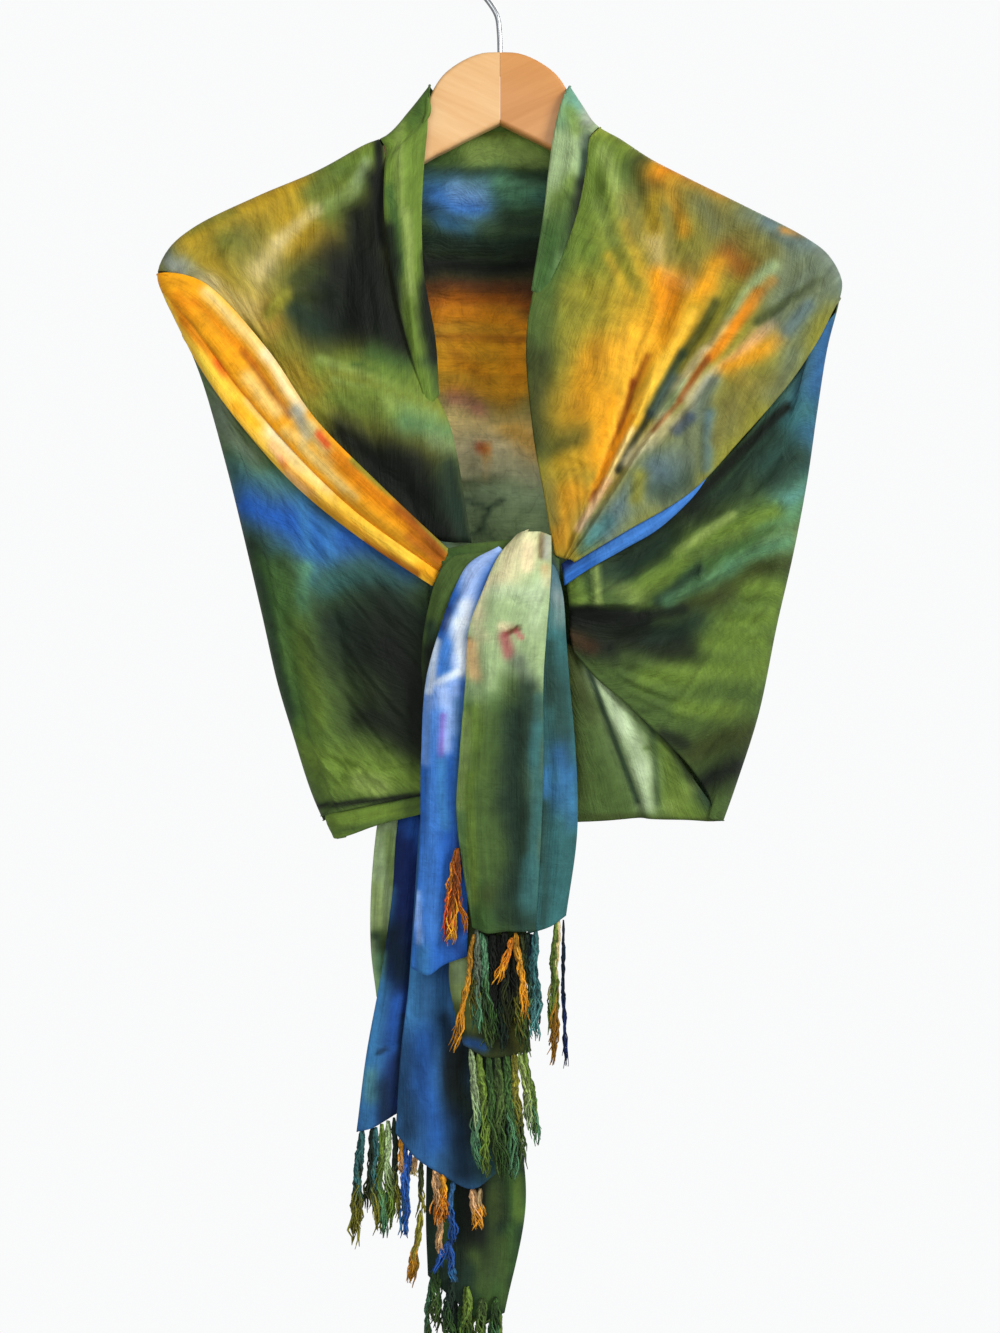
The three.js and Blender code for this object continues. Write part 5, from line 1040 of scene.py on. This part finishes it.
# ---------------------------------------------------------------------------------------------
# The knot: both ends are gathered to a hand's width and tied once in front. The first crossing is
# a soft roll of cloth inside the knot, and a green strand wraps its left side.
knot_fold = []
for drop_part, out in ((0.86, -9.5), (0.98, -7), (1.04, -2.5), (0.9, 0), (0.68, 1.6), (0.4, 1.6), (0.14, 0),
                       (-0.04, -2.5), (0.02, -7), (0.14, -9.5)):
    knot_fold.append([[-38, 334 + 23 * drop_part, 41.5 + out * 0.9], [-24, 331 + 28 * drop_part, 44 + out],
                      [-4, 329 + 33 * drop_part, 47 + out], [12, 328 + 33 * drop_part, 48 + out],
                      [26, 332 + 26 * drop_part, 45.5 + out], [38.5, 339 + 17 * drop_part, 42 + out * 0.9]])
knot = lay_cloth(
    "knot_roll", knot_fold, "moss",
    """-36 338 -20 338 5 fern .6, 30 338 38 350 4 navy .6, -10 340 20 345 8 moss .5""",
    """-36 344 36 344 0 3 -1""", face="free", crinkle=0.4, still=0, seed=131)
fasten(knot, "knot_core")
wrap = lay_cloth(
    "knot_wrap_cloth",
    """-8 336 48.9, -30 339 47.3, -39 350 46.9, -46 372 42.3, -50 400 38.7, -49 430 37.3;
     -6 342 50.7, -24 346 50.8, -33 358 49.3, -41 378 45.3, -46 402 41.3, -46 430 38.8;
     -2 350 51.3, -14 355 50.3, -24 368 47.3, -34 386 42.8, -40 405 39.8, -42 430 37.8""",
    "moss",
    """-46 384 -44 400 3.4 pine .8, -48 402 -45 430 5 night .9, -30 364 -22 352 2 fern .7""",
    """-10 340 -44 374 4 2 .8, -34 348 -47 398 1 1.6 .6""",
    face="free", fold="fl", crinkle=0.15, still=0, step=1.8, seed=141)
fasten(wrap, "knot_wrap")

# ---------------------------------------------------------------------------------------------
# The two ends hanging from the knot, each in several folds, with the fringe along the short
# sides: lengths of the same rayon yarn, knotted in tassels and dyed with the cloth.
yarn_finish, tree, shader = new_material("dyed_fringe_yarn", 0.75, specular=0.25)
dye = add_node(tree, "Attribute", {"attribute_name": "dye"})
along_yarn = add_node(tree, "UVMap", {"uv_map": "yarn"})
twist = add_node(tree, "TexWave", {"wave_type": "BANDS", "bands_direction": "DIAGONAL"},
                 Vector=along_yarn.outputs["UV"], Scale=170.0, Distortion=2.0, Detail=2.0)
fuzz = add_node(tree, "TexNoise", {"noise_dimensions": "2D"}, Vector=along_yarn.outputs["UV"], Scale=420.0,
                Detail=3.0)
uneven = add_node(tree, "MapRange", Value=fuzz.outputs[0], From_Min=0.3, From_Max=0.7, To_Min=0.7, To_Max=1.3)
toned = add_node(tree, "HueSaturation", Color=dye.outputs["Color"], Value=uneven.outputs[0])
bump = add_node(tree, "Bump", Height=twist.outputs[0], Strength=0.5, Distance=0.0004)
tree.links.new(toned.outputs[0], shader.inputs["Base Color"])
tree.links.new(bump.outputs[0], shader.inputs["Normal"])
YARN_SIDES = 3
YARN_STOPS = 15
YARN_FILL = 1.5  # yarns laid for each one that the table counts
TASSEL_SPREAD, YARN_SCATTER = 1.25, 0.7
TASSEL_DEPTH = 1.9  # a tassel stays this thin to the front and to the back


def hang_fringe(name, node, tassels, seed):
    """Yarns in tassels. Columns: across, drop and out of the knot, across, drop and out of the
    ends, spread at the ends, number of yarns, their half thickness, first and last dye, sway."""
    draw = np.random.default_rng(seed)
    part = np.linspace(0, 1, YARN_STOPS + 1)
    around = np.arange(YARN_SIDES) * 2 * math.pi / YARN_SIDES
    points, shades, spread = [], [], []
    for a0, d0, o0, a1, d1, o1, wide, count, half, first, last, sway in table(tassels):
        ends = [shade_of(DYE_AND_SHADE_COLOURS[dye_name]) for dye_name in (first, last)]
        curl, long = draw.uniform(0, 6.3), abs(d1 - d0)
        bend = sway * part * (np.sin(part * long / 13 + curl) + 0.5 * np.sin(part * long / 6 + 2 * curl))
        for _ in range(round(YARN_FILL * count)):
            reach = draw.uniform(0.78, 1.0)
            rate, angle = draw.choice([-1, 1]) * draw.uniform(0.08, 0.16) * long, draw.uniform(0, 6.3)
            crimp, turn = draw.uniform(0.5, 1.1), draw.uniform(0, 6.3)
            open_up = (0.35 + 0.65 * np.sqrt(part)) * TASSEL_SPREAD * wide * math.sqrt(draw.uniform(0.05, 1))
            fray = draw.normal(0, 1.2) * part ** 3
            aside = YARN_SCATTER * open_up * np.cos(angle + rate * part)
            across = a0 + (a1 - a0) * part * reach + aside + bend + fray
            across += crimp * np.sin(part * long / draw.uniform(2.2, 3.4) + turn) * np.minimum(1, part * 6)
            drop = d0 + (d1 - d0) * part * reach
            forward = YARN_SCATTER * open_up * np.sin(angle + rate * part)
            out = o0 + (o1 - o0) * part * reach + np.clip(forward, -TASSEL_DEPTH, TASSEL_DEPTH)
            thick = half * draw.uniform(0.6, 1.1) * np.interp(part, [0, 0.05, 0.9, 1], [0.7, 1, 0.9, 0.35])
            ring_a = across[:, None] + thick[:, None] * np.cos(around + 2 * part[:, None])
            ring_o = out[:, None] + thick[:, None] * np.sin(around + 2 * part[:, None])
            ring_d = np.repeat(drop[:, None], YARN_SIDES, axis=1)
            points.append(np.stack([ring_a, ring_d, ring_o], axis=2).reshape(-1, 3))
            change = smooth_step((part - draw.uniform(0.3, 0.7)) / 0.3)[:, None]
            tone = (ends[0] + (ends[1] - ends[0]) * change) * draw.uniform(0.62, 1.2)
            shades.append(np.repeat(np.clip(tone, 0, 1), YARN_SIDES, axis=0))
            run = np.repeat(part[:, None] * long / 1000, YARN_SIDES, axis=1)
            side = np.broadcast_to(around * 0.0012, run.shape)
            spread.append(np.stack([run, side], axis=2).reshape(-1, 2))
    base = np.arange(YARN_STOPS)[:, None] * YARN_SIDES
    here, following = np.arange(YARN_SIDES), (np.arange(YARN_SIDES) + 1) % YARN_SIDES
    beyond = base + YARN_SIDES
    walls = np.stack([base + here, base + following, beyond + following, beyond + here], axis=2)
    starts = (np.arange(len(points)) * (YARN_STOPS + 1) * YARN_SIDES)[:, None, None]
    faces = (walls.reshape(1, -1, 4) + starts).reshape(-1, 4).tolist()
    for cap in (here[::-1], YARN_STOPS * YARN_SIDES + here):
        faces += (cap + starts[:, 0]).tolist()
    piece = make_piece(name, hanging(np.concatenate(points)), faces, "yarn", np.concatenate(spread),
                       np.concatenate(shades), yarn_finish)
    bpy.ops.object.mode_set(mode="EDIT")
    bpy.ops.mesh.select_all(action="SELECT")
    bpy.ops.mesh.normals_make_consistent(inside=False)
    bpy.ops.object.mode_set(mode="OBJECT")
    bpy.ops.object.shade_smooth()
    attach(piece, "root")
    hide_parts(node)
    return piece


blue_tail = lay_cloth(
    "blue_tail_cloth",
    """0 332 52, -19 343 53.4, -28 358 51.8, -38 385 47, -47 418 43, -50 465 41, -51 525 39.5, -57 605 38;
     4 336 54, -14 348 56, -22 364 54.5, -32 390 50.5, -40 422 47, -42 465 45, -43 525 44, -47 609 41.5;
     7 341 53.5, -8 355 55, -16 370 53.5, -26 394 49.5, -32 424 46, -33 465 43.5, -33 525 42.5,
       -36 602 40.5;
     9 347 53, -2 360 54, -9 375 51.5, -17 398 47.5, -20 426 44, -22 465 42, -22 525 41, -22 597 40""",
    "royal",
    """0 334 -18 348 5 ice .95, -18 350 -22 366 6 ice .95, -30 362 -37 388 3.2 royal 1,
     -33 370 -36 384 1.8 navy .7, -22 368 -22 380 4.5 frost .9, -26 380 -24 410 5 frost .95,
     -35 396 -35 414 3 sky 1, -41 394 -46 424 2.2 frost .85, -29 404 -28 412 1.6 ice .6,
     -40 419 -26 413 2 frost .9, -38 424 -36 460 4 ice .95, -30 420 -29 450 3 ice .7,
     -46 430 -48 470 2.4 ice .6, -42 440 -46 590 4 sky .7, -37.5 440 -38 466 1.4 plum .6,
     -28 432 -25 470 3 steel .7, -24 470 -24 520 4 steel .8, -46 480 -44 520 3 sky .5,
     -38 470 -36 510 3 azure .7, -28 520 -24 540 4 navy .5, -46 530 -52 560 3 sky .6,
     -54 556 -53 588 1.8 ice .8, -44 560 -40 590 8 sky .8, -40 594 -26 598 6 royal .8,
     -30 560 -24 580 4 navy .6, -52 596 -50 608 5 azure .8, -28 590 -22 600 3 navy .4""",
    """-2 340 -44 420 9 2.4 1, -8 352 -36 412 6 2 -.9, -38 392 -36 416 2 2.6 -1.2, -40 421 -23 412 0 1.6 1,
     -44 420 -48 540 0 2.4 .9, -38 424 -40 560 0 2.4 .9, -34 424 -34 560 0 2 -.9, -28 424 -28 580 0 3 .8,
     -50 500 -55 600 0 2 .8""",
    face="free", fold="fl", crinkle=0.2, still=0, seed=151)
fasten(blue_tail, "blue_tail")

front_tail = lay_cloth(
    "front_tail_cloth",
    """12 323 51.5, 0 338 57, -10 360 57.5, -19 385 54.1, -21 415 49.5, -25 465 46.5, -27 505 45.5,
       -17 578 43.5;
     15 322 55, 8 338 61, 0 360 62, -8 385 60, -12 415 56, -16 465 52.5, -17 505 51, -8 581 48;
     20 322 54.5, 16 338 60, 12 360 61, 6 385 59, 3 415 54, 2 465 49, 2 505 47, 4 580 45;
     26 322 53.5, 25 338 58, 22 360 59, 19 385 57.5, 17 415 54, 17 465 51.5, 17 505 50, 14 580 47;
     32 324 51, 32 340 54, 31 360 55, 29 385 53, 27 415 50, 27 465 48, 26 505 47, 22 580 45""",
    "sage",
    """-14 440 -10 576 16 fern .9, 20 440 18 576 10 pine .5, 14 322 22 330 8 cream .55,
     8 336 4 356 8 cream .75, 17 332 17 346 3 cream .9, -8 356 -12 376 4 cream .9,
     27 324 26 338 1.6 bark .55, 30 326 29 338 2 fog .7, 28 346 30 356 2.4 peach .6,
     28 358 24 378 6 mint .7, 0 364 22 366 5 mint .75, -2 372 18 376 6 sage .7, -14 384 -10 392 4 cream .5,
     2 383 8 384 2 cream .7, 4 388 12 384 1.1 bark .9, 11 386 14 390 1.2 rose .7, 4 390 6 400 3 rose .7,
     -19.5 391 -19 396 1 bark .6, -18 396 -16 414 3.4 peach .75, -8 396 -6 420 3 sage .8,
     -16 422 -10 440 4 sage .6, 12 404 16 420 4 lichen .8, 6 420 8 440 6 moss .75,
     -16 436 -14 480 5 leaf .8, -22 440 -24 500 3 spring .7, -12 470 -12 540 5 moss .8,
     -19 480 -17 560 2.4 leaf .8, -4 440 0 560 7 moss .9, 8 440 10 560 8 pine .95, 16 424 20 470 6 pine .8,
     24 430 24 470 3 teal .5, 16 500 14 578 7 pine .6, 18 536 16 576 4 teal .7, 24 450 22 570 4 teal .8,
     -8 560 0 580 6 loden .7, -14 572 0 576 7 fern .85, 4 572 16 574 7 pine .7""",
    """-14 388 -14 470 0 3 -1, 2 366 14 368 -1 2 -1.2, 14 368 24 378 0 1.6 -1, 8 364 22 362 0 3 .8,
     3 387 12 384 -1 1.6 -1.8, 2 382 12 380 0 2 1, -6 392 -8 470 0 3 1, 4 392 6 430 0 3 -.8,
     24 322 24 344 0 2 -2, 29 326 29 350 0 1.6 1, 16 326 14 350 1 3 .8, -18 394 -17 424 0 1.6 -.9,
     10 420 12 560 0 5 -1.2, -12 430 -10 560 0 5 1, 22 440 20 560 0 3 .8""",
    face="free", fold="fl", crinkle=0.25, still=0, step=2.0, seed=161)
front_side = lay_cloth(
    "front_tail_side_cloth",
    """29 343 52, 28 362 52.4, 26 385 50.2, 24 415 47.4, 24 465 45.4, 23 515 44.2, 18 582 42.6;
     34 343 50.5, 35 362 51, 35 385 49.5, 36 415 47, 38 465 46, 38 515 45, 33 577 43;
     36.5 346 47, 40 364 47, 42 390 45.5, 44 418 43, 48 465 42, 49 515 41.5, 42 571 40""",
    "teal",
    """34 344 37 362 5 slate .7, 36 362 37 382 5 fog .5, 34 390 38 410 6 teal .8, 32 396 30 430 3 pine .5,
     34 420 38 450 8 pine .55, 36 462 44 480 7 steel .9, 30 476 29 492 3.4 azure .9,
     44 480 47 510 5 azure .8, 36 490 40 506 5 steel .7, 38 514 30 572 8 teal .9, 28 500 24 574 4 pine .6,
     24 540 22 576 3 teal .8""",
    """36 350 36 440 0 3 .6, 32 440 31 570 0 3 -.9, 40 440 38 570 0 4 .8""",
    face="free", fold="l", crinkle=0.2, still=0, step=2.0, seed=171)
front_fringe = hang_fringe(
    "front_fringe_yarns", "fringe_front",
    """-15 579 43 -13 648 42.5 3.4 13 .95 lichen jade 1.5, -12 581 43 -4 652 42 3 12 .95 jade fern 1.5,
     -17 582 43.5 -29 659 42.5 1.8 9 1 ochre gold 2, -14 584 42.5 -18 640 41.5 3.5 10 .9 loden olive 1,
     -5 581 42 -4 640 41 4.5 18 1 night night 1, 3 580 42.5 4 645 41.5 4 16 1 night loden 1,
     10 581 44.5 17 640 44 2.4 13 1.05 ochre gold 1.5, 8 584 45 0 615 45 2.6 8 1 amber gold 2,
     9 582 42.5 13 654 42 3.4 12 .95 night olive 1.5, -9 583 41.5 -9 658 40.5 3.6 16 1 pine moss 1.4,
     0 583 41.5 2 660 40.5 3.8 16 1 night pine 1.4, 14 582 41.5 16 662 40.5 4 16 1 loden moss 1.6,
     18 581 42 21 650 41 3 12 1 pine jade 1.6, 23 580 44 22 652 43 3.2 15 1 teal sea 2.5,
     20 582 42.5 24 645 41.5 2.6 8 .9 ink teal 1, 36 574 41 34 668 40.5 2.6 15 1 leaf ochre 2.4,
     38 573 40.5 33 650 40 2.2 8 .9 straw leaf 1.5, 41 573 40.5 41.5 671 40 .9 5 .8 ink navy .8""", 171)
tuft = hang_fringe(
    "tuft_yarns", "fringe_tuft",
    """-27.5 526 46.6 -33 591 45.6 3.4 15 .95 rust gold 1.5, -28 526 46.4 -36 588 45.2 3 10 .9 amber ember 2,
     -27.5 527 46.4 -23 584 45.4 1.6 6 .8 rust amber 2""", 181)
fasten(front_tail, "front_tail")
fasten(front_side, "front_tail_side")

middle_tail = lay_cloth(
    "middle_tail_cloth",
    """-12 362.4 44, -12 420 40, -19 520 36.4, -31 592 35, -32 614 34.6, -23 656 33;
     4 362.9 44, 2 420 41, -4 520 39, -8 592 37.4, -8 614 36.8, -8 663 36;
     22 362 43, 20 420 40, 16 520 36, 16 592 34.2, 16 614 33.8, 19 660 33""",
    "loden",
    """-30 596 -26 622 5 sage .9, -25 620 -20 642 4 spring .75, -8 610 -4 640 6 pine .7,
     12 600 16 650 6 night .7, -22 654 -12 656 3 royal .8, 0 640 16 652 10 night .9,
     -8 500 0 580 12 moss .6, 4 640 12 656 4 olive .5""",
    """-12 560 -14 656 0 3 .8, 4 560 6 656 0 3 -.9""",
    face="free", fold="fl", crinkle=0.25, still=0, seed=191)
middle_fringe = hang_fringe(
    "middle_fringe_yarns", "fringe_middle",
    """-19 658 33 -12 738 32 3.2 16 1 sage jade 2, -14 659 33.5 -6 742 32.5 3 15 1 leaf leaf 2,
     -8 661 34 0 744 33 3 14 1 fern moss 1.5, -2 662 34 4 746 33.5 4.4 18 1 moss fern 1.5,
     4 661 33.5 9 744 33 4.4 18 1 fern jade 1.5, 9 660 33 13 738 32.5 4 16 1 olive moss 1.5,
     13 660 33 20 712 32.5 3 14 1 spring sage 2, 16 659 32.5 25 722 32 2.6 13 1 leaf jade 2""", 191)
fasten(middle_tail, "middle_tail")

long_blue = lay_cloth(
    "long_blue_tail_cloth",
    """-18 362.5 40, -34 430 27, -50 500 22, -55 560 22, -59 620 23, -64 660 23, -68 716 22;
     -8 362.8 40, -26 430 28, -43 500 24, -48 560 25, -52 620 27, -54 670 27, -56 730 26;
     2 363 40, -16 430 28, -34 500 23, -38 560 23, -42 620 24, -42 680 25, -40 741 24;
     12 363 40, -4 430 27, -22 500 21, -28 560 21, -33 620 22, -24 690 23, -18 752 22;
     20 362.8 40, 6 430 26, -12 500 20, -20 560 19, -26 620 19, -16 690 19, -3 743 18""",
    "steel",
    """-56 600 -58 640 5 azure .75, -58 660 -62 712 6 ink .55, -50 650 -44 720 8 royal .7,
     -40 620 -38 660 5 steel .6, -36 640 -30 700 3.4 ink .8, -26 660 -20 720 7 night .9,
     -16 700 -8 740 9 pine .9, -32 704 -22 744 7 ink .75, -12 728 -4 744 5 teal .5,
     -30 500 -20 600 12 navy .6""",
    """-60 560 -64 716 0 3 1, -54 600 -56 726 0 2.6 -.9, -46 560 -48 734 0 3 1, -36 600 -34 740 0 3.4 -1.4,
     -26 620 -14 744 0 4 1.2, -22 640 -26 744 0 3 -.9""",
    face="free", fold="fl", crinkle=0.25, still=0, seed=201)
long_fringe = hang_fringe(
    "long_fringe_yarns", "fringe_long",
    """-65 718 20.5 -65 744 20.5 2 10 1 gold peach .6, -62 722 20.5 -63 786 20.5 2.2 12 1 royal royal 1.2,
     -59 728 21 -65 786 20.5 2 6 .9 royal azure 1, -56 730 22 -56 744 22 1.6 6 1 peach straw .4,
     -52 734 22 -52 772 22 1.6 6 .9 loden olive .6, -52 766 22 -60 818 20.5 2.6 12 .95 olive ochre 1.6,
     -43 738 22.5 -38 776 22 3.4 18 1.05 peach amber 1.2, -38 742 22.5 -37 772 22 2.8 12 1.05 gold amber 1,
     -40 770 21.5 -40 797 21.5 2.2 10 1 peach peach .8, -31 747 21.5 -34 790 21.5 2 12 1 steel royal 2.2,
     -34 786 21.5 -44 809 21 2.4 9 .95 royal royal 1, -34 786 21 -30 814 21 2.4 9 .95 royal azure 1,
     -18 752 20 -15 780 20 2.8 14 1.05 peach gold 1, -13 752 20 -13 772 20 2 8 1 sand gold 1""", 201)
fasten(long_blue, "long_blue_tail")

navy_tail = lay_cloth(
    "navy_tail_cloth",
    """-24 361.4 37, -46 430 20, -66 510 17, -70 560 17, -78 615 18, -87 665 19, -93.5 715 18;
     -14 362.6 37, -38 430 21, -59 510 19, -64 560 20, -71 620 22, -79 665 23, -84 712 22;
     -4 363 37, -28 430 20, -49 507 17, -55 560 17, -60 620 18, -64 665 18, -69 704 17""",
    "navy",
    """-68 510 -62 518 4 royal .5, -58 510 -52 530 4 royal .7, -72 556 -74 588 2.4 steel .8,
     -64 560 -62 586 4 navy .8, -70 588 -62 612 9 ink .95, -78 600 -80 622 3 jade .7,
     -78 626 -84 662 8 azure .95, -66 630 -68 660 4 royal .8, -62 640 -66 690 2 ink .8,
     -84 668 -90 708 9 azure .9, -84 676 -84 690 4 sea .7, -76 684 -74 706 5 ink .7,
     -80 662 -74 660 1.2 ink .6""",
    """-72 520 -90 712 0 3 1, -64 540 -74 700 0 3 -1.2, -60 560 -70 700 0 3 1, -84 660 -70 656 0 1.6 -.8""",
    face="free", fold="fl", crinkle=0.25, still=0, seed=211)
left_fringe = hang_fringe(
    "left_fringe_yarns", "fringe_left",
    """-91 713 17.5 -96 786 16.5 3.4 17 1 teal olive 1.2, -91 714 17 -97 793 16 2.6 10 .95 pine olive 1.2,
     -84 712 18.5 -86 772 17 2.8 8 .95 pine loden 1.2, -82 712 18.5 -83 784 17 2.6 15 1 teal olive 1.2,
     -78 710 18 -78 786 17 2.6 15 1 leaf jade 1.5, -74 708 17.5 -73 782 16.5 2.8 14 1 sage leaf 1.5,
     -70 706 17 -67 776 16.5 2 10 .95 pine olive 1""", 211)
fasten(navy_tail, "navy_tail")

pale_tail = lay_cloth(
    "pale_tail_cloth",
    """-30 359.2 34, -58 430 16, -76 490 13, -83 540 13, -84.5 590 13, -81 628 12;
     -20 361.4 34, -50 430 17.5, -69 490 16, -76 540 16, -79.5 590 15.6, -77 632 14.5;
     -10 362.8 34, -40 430 16, -61 490 13, -68 540 13, -74 590 12.5, -72 632 12""",
    "sage",
    """-72 520 -70 550 3 leaf .5, -82 556 -80 584 4 spring .5, -80 586 -76 592 4 moss .9,
     -82 586 -79 606 3 pine .8, -80 600 -78 630 4 jade .6, -84 590 -83 620 2 sage .5""",
    """-78 500 -82 620 0 3 .9, -72 510 -76 620 0 2.4 -1""",
    face="free", fold="fl", crinkle=0.25, still=0, seed=221)
fasten(pale_tail, "pale_tail")

long_green = lay_cloth(
    "long_green_tail_cloth",
    """-12 362.8 31, -28 430 16, -40 520 10, -40 620 9, -46 700 9, -48 770 9, -47 813 9;
     0 363 31, -16 430 17, -28 520 12, -27 620 12, -27 700 13, -28 770 13, -29 829 12;
     12 363 31, -4 430 16, -14 520 9, -10 620 9, -6 700 9, -5 770 10, -12 842 10;
     24 361.4 31, 8 430 14, 0 520 6, 4 620 5, 10 700 6, 16 765 7, 2 838 7""",
    "pine",
    # The night streaks at across -30 to -10, down to drop 800, are painted shadow inside the tail's folds.
    """-30 600 -20 800 9 night .9, 4 640 2 740 8 night .8, -14 760 -10 800 7 night .85,
     -34 600 -28 640 4 sage .7, -32 606 -30 630 4 moss .7, 6 740 12 770 5 fern .95, 12 748 13 775 3 leaf .6,
     8 780 8 806 4 fern .8, 2 790 4 830 4 moss .8, -18 800 -12 818 6 moss .85, -24 812 -30 826 6 pine .9,
     -44 800 -40 815 5 pine .9, -4 756 -2 770 5 loden .7, -44 700 -44 760 4 pine .6,
     0 820 -14 838 5 fern .7, -36 700 -38 800 3 fern .6, -4 700 -6 830 3 moss .5""",
    """-40 640 -42 812 0 4 1.2, -28 640 -30 824 0 5 -1.6, -14 640 -14 836 0 4 1.4, -2 640 0 836 0 4 -1.2,
     8 700 8 830 0 3 1""",
    face="free", fold="fl", crinkle=0.3, still=0, seed=231)
bottom_fringe = hang_fringe(
    "bottom_fringe_yarns", "fringe_bottom",
    """-45.5 814 7.5 -51 878 6.5 1.8 11 1 jade leaf 1.8, -42 806 12 -44 850 11 4.4 13 1 fern moss 1.5,
     -32 812 14.5 -34 858 13 4.6 14 1 pine fern 1.5, -22 818 15 -22 866 13 4.6 14 1 leaf fern 1.5,
     -12 826 13 -13 868 12 4.6 14 1 moss leaf 1.5, -3 826 11.5 -4 866 11 4.4 13 1 fern jade 1.5,
     -30 828 9.5 -32 880 8.5 3 14 1 pine jade 1.2, -26 831 9.5 -25 882 8.5 3.2 16 1 fern fern 1.2,
     -20 834 9 -20 881 8 3 15 1 leaf moss 1.2, -14 838 8.5 -26 850 9 2.4 10 1 leaf fern 1,
     -2 838 6.5 -14 846 8 2.4 10 1 spring fern 1, -6 840 7.5 -7 880 7 2.2 12 1 jade fern 1,
     0 838 6.5 -1 878 6 2 12 1 leaf fern 1""", 231)
fasten(long_green, "long_green_tail")

# ---------------------------------------------------------------------------------------------
# The studio: a plain pale floor well below the hem, fading out at its edge, and soft light, the
# main one in front and to the right, with a wide weak one at the left and one behind.
start_clean()
bpy.ops.mesh.primitive_circle_add(vertices=96, radius=1.7, fill_type="NGON", location=(0, 0, -1.6))
floor = bpy.context.object
floor.name = floor.data.name = "floor"
bpy.ops.object.transform_apply(location=True)
floor_finish, tree, shader = new_material("floor_paper", 0.9, specular=0.1)
shader.inputs["Base Color"].default_value = (0.8, 0.8, 0.8, 1)
place = add_node(tree, "TexCoord")
away = add_node(tree, "VectorMath", {"operation": "LENGTH"}, _0=place.outputs["Object"])
fade = add_node(tree, "MapRange", {"interpolation_type": "SMOOTHSTEP"}, Value=away.outputs["Value"],
                From_Min=1.75, From_Max=2.3, To_Min=1.0, To_Max=0.0)
tree.links.new(fade.outputs[0], shader.inputs["Alpha"])
floor.data.materials.append(floor_finish)


def add_light(name, place, aim, size, power, shade=(1, 1, 1)):
    lamp = bpy.data.lights.new(name, "AREA")
    lamp.shape = "SQUARE"
    lamp.size = size
    lamp.energy = power
    lamp.color = shade
    holder = bpy.data.objects.new(name, lamp)
    bpy.context.collection.objects.link(holder)
    holder.location = place
    direction = bpy.data.objects[name].location - type(holder.location)(aim)
    holder.rotation_euler = direction.to_track_quat("Z", "Y").to_euler()


add_light("main_light", (1.5, -1.25, 0.45), (0, 0, -0.42), 0.8, 34, (1.0, 0.985, 0.96))
add_light("front_light", (-0.5, -2.1, -0.15), (0, 0, -0.42), 1.5, 14, (0.97, 0.985, 1.0))
add_light("back_light", (0.4, 1.7, 0.5), (0, 0, -0.4), 1.2, 16)
world = bpy.data.worlds.new("studio")
bpy.context.scene.world = world
world.use_nodes = True
sky = world.node_tree.nodes["Background"]
sky.inputs["Color"].default_value = (0.9, 0.905, 0.91, 1)
seen = add_node(world.node_tree, "LightPath")
bright = add_node(world.node_tree, "MapRange", Value=seen.outputs["Is Camera Ray"], To_Min=0.42, To_Max=1.06)
world.node_tree.links.new(bright.outputs[0], sky.inputs["Strength"])

camera = bpy.data.objects.new("camera", bpy.data.cameras.new("camera"))
bpy.context.collection.objects.link(camera)
camera.location = (0, -1.5, -0.4847)
camera.rotation_euler = (math.pi / 2, 0, 0)
camera.data.sensor_fit = "VERTICAL"
camera.data.angle = math.radians(33.0)
bpy.context.scene.camera = camera
bpy.context.scene.view_settings.view_transform = "Standard"
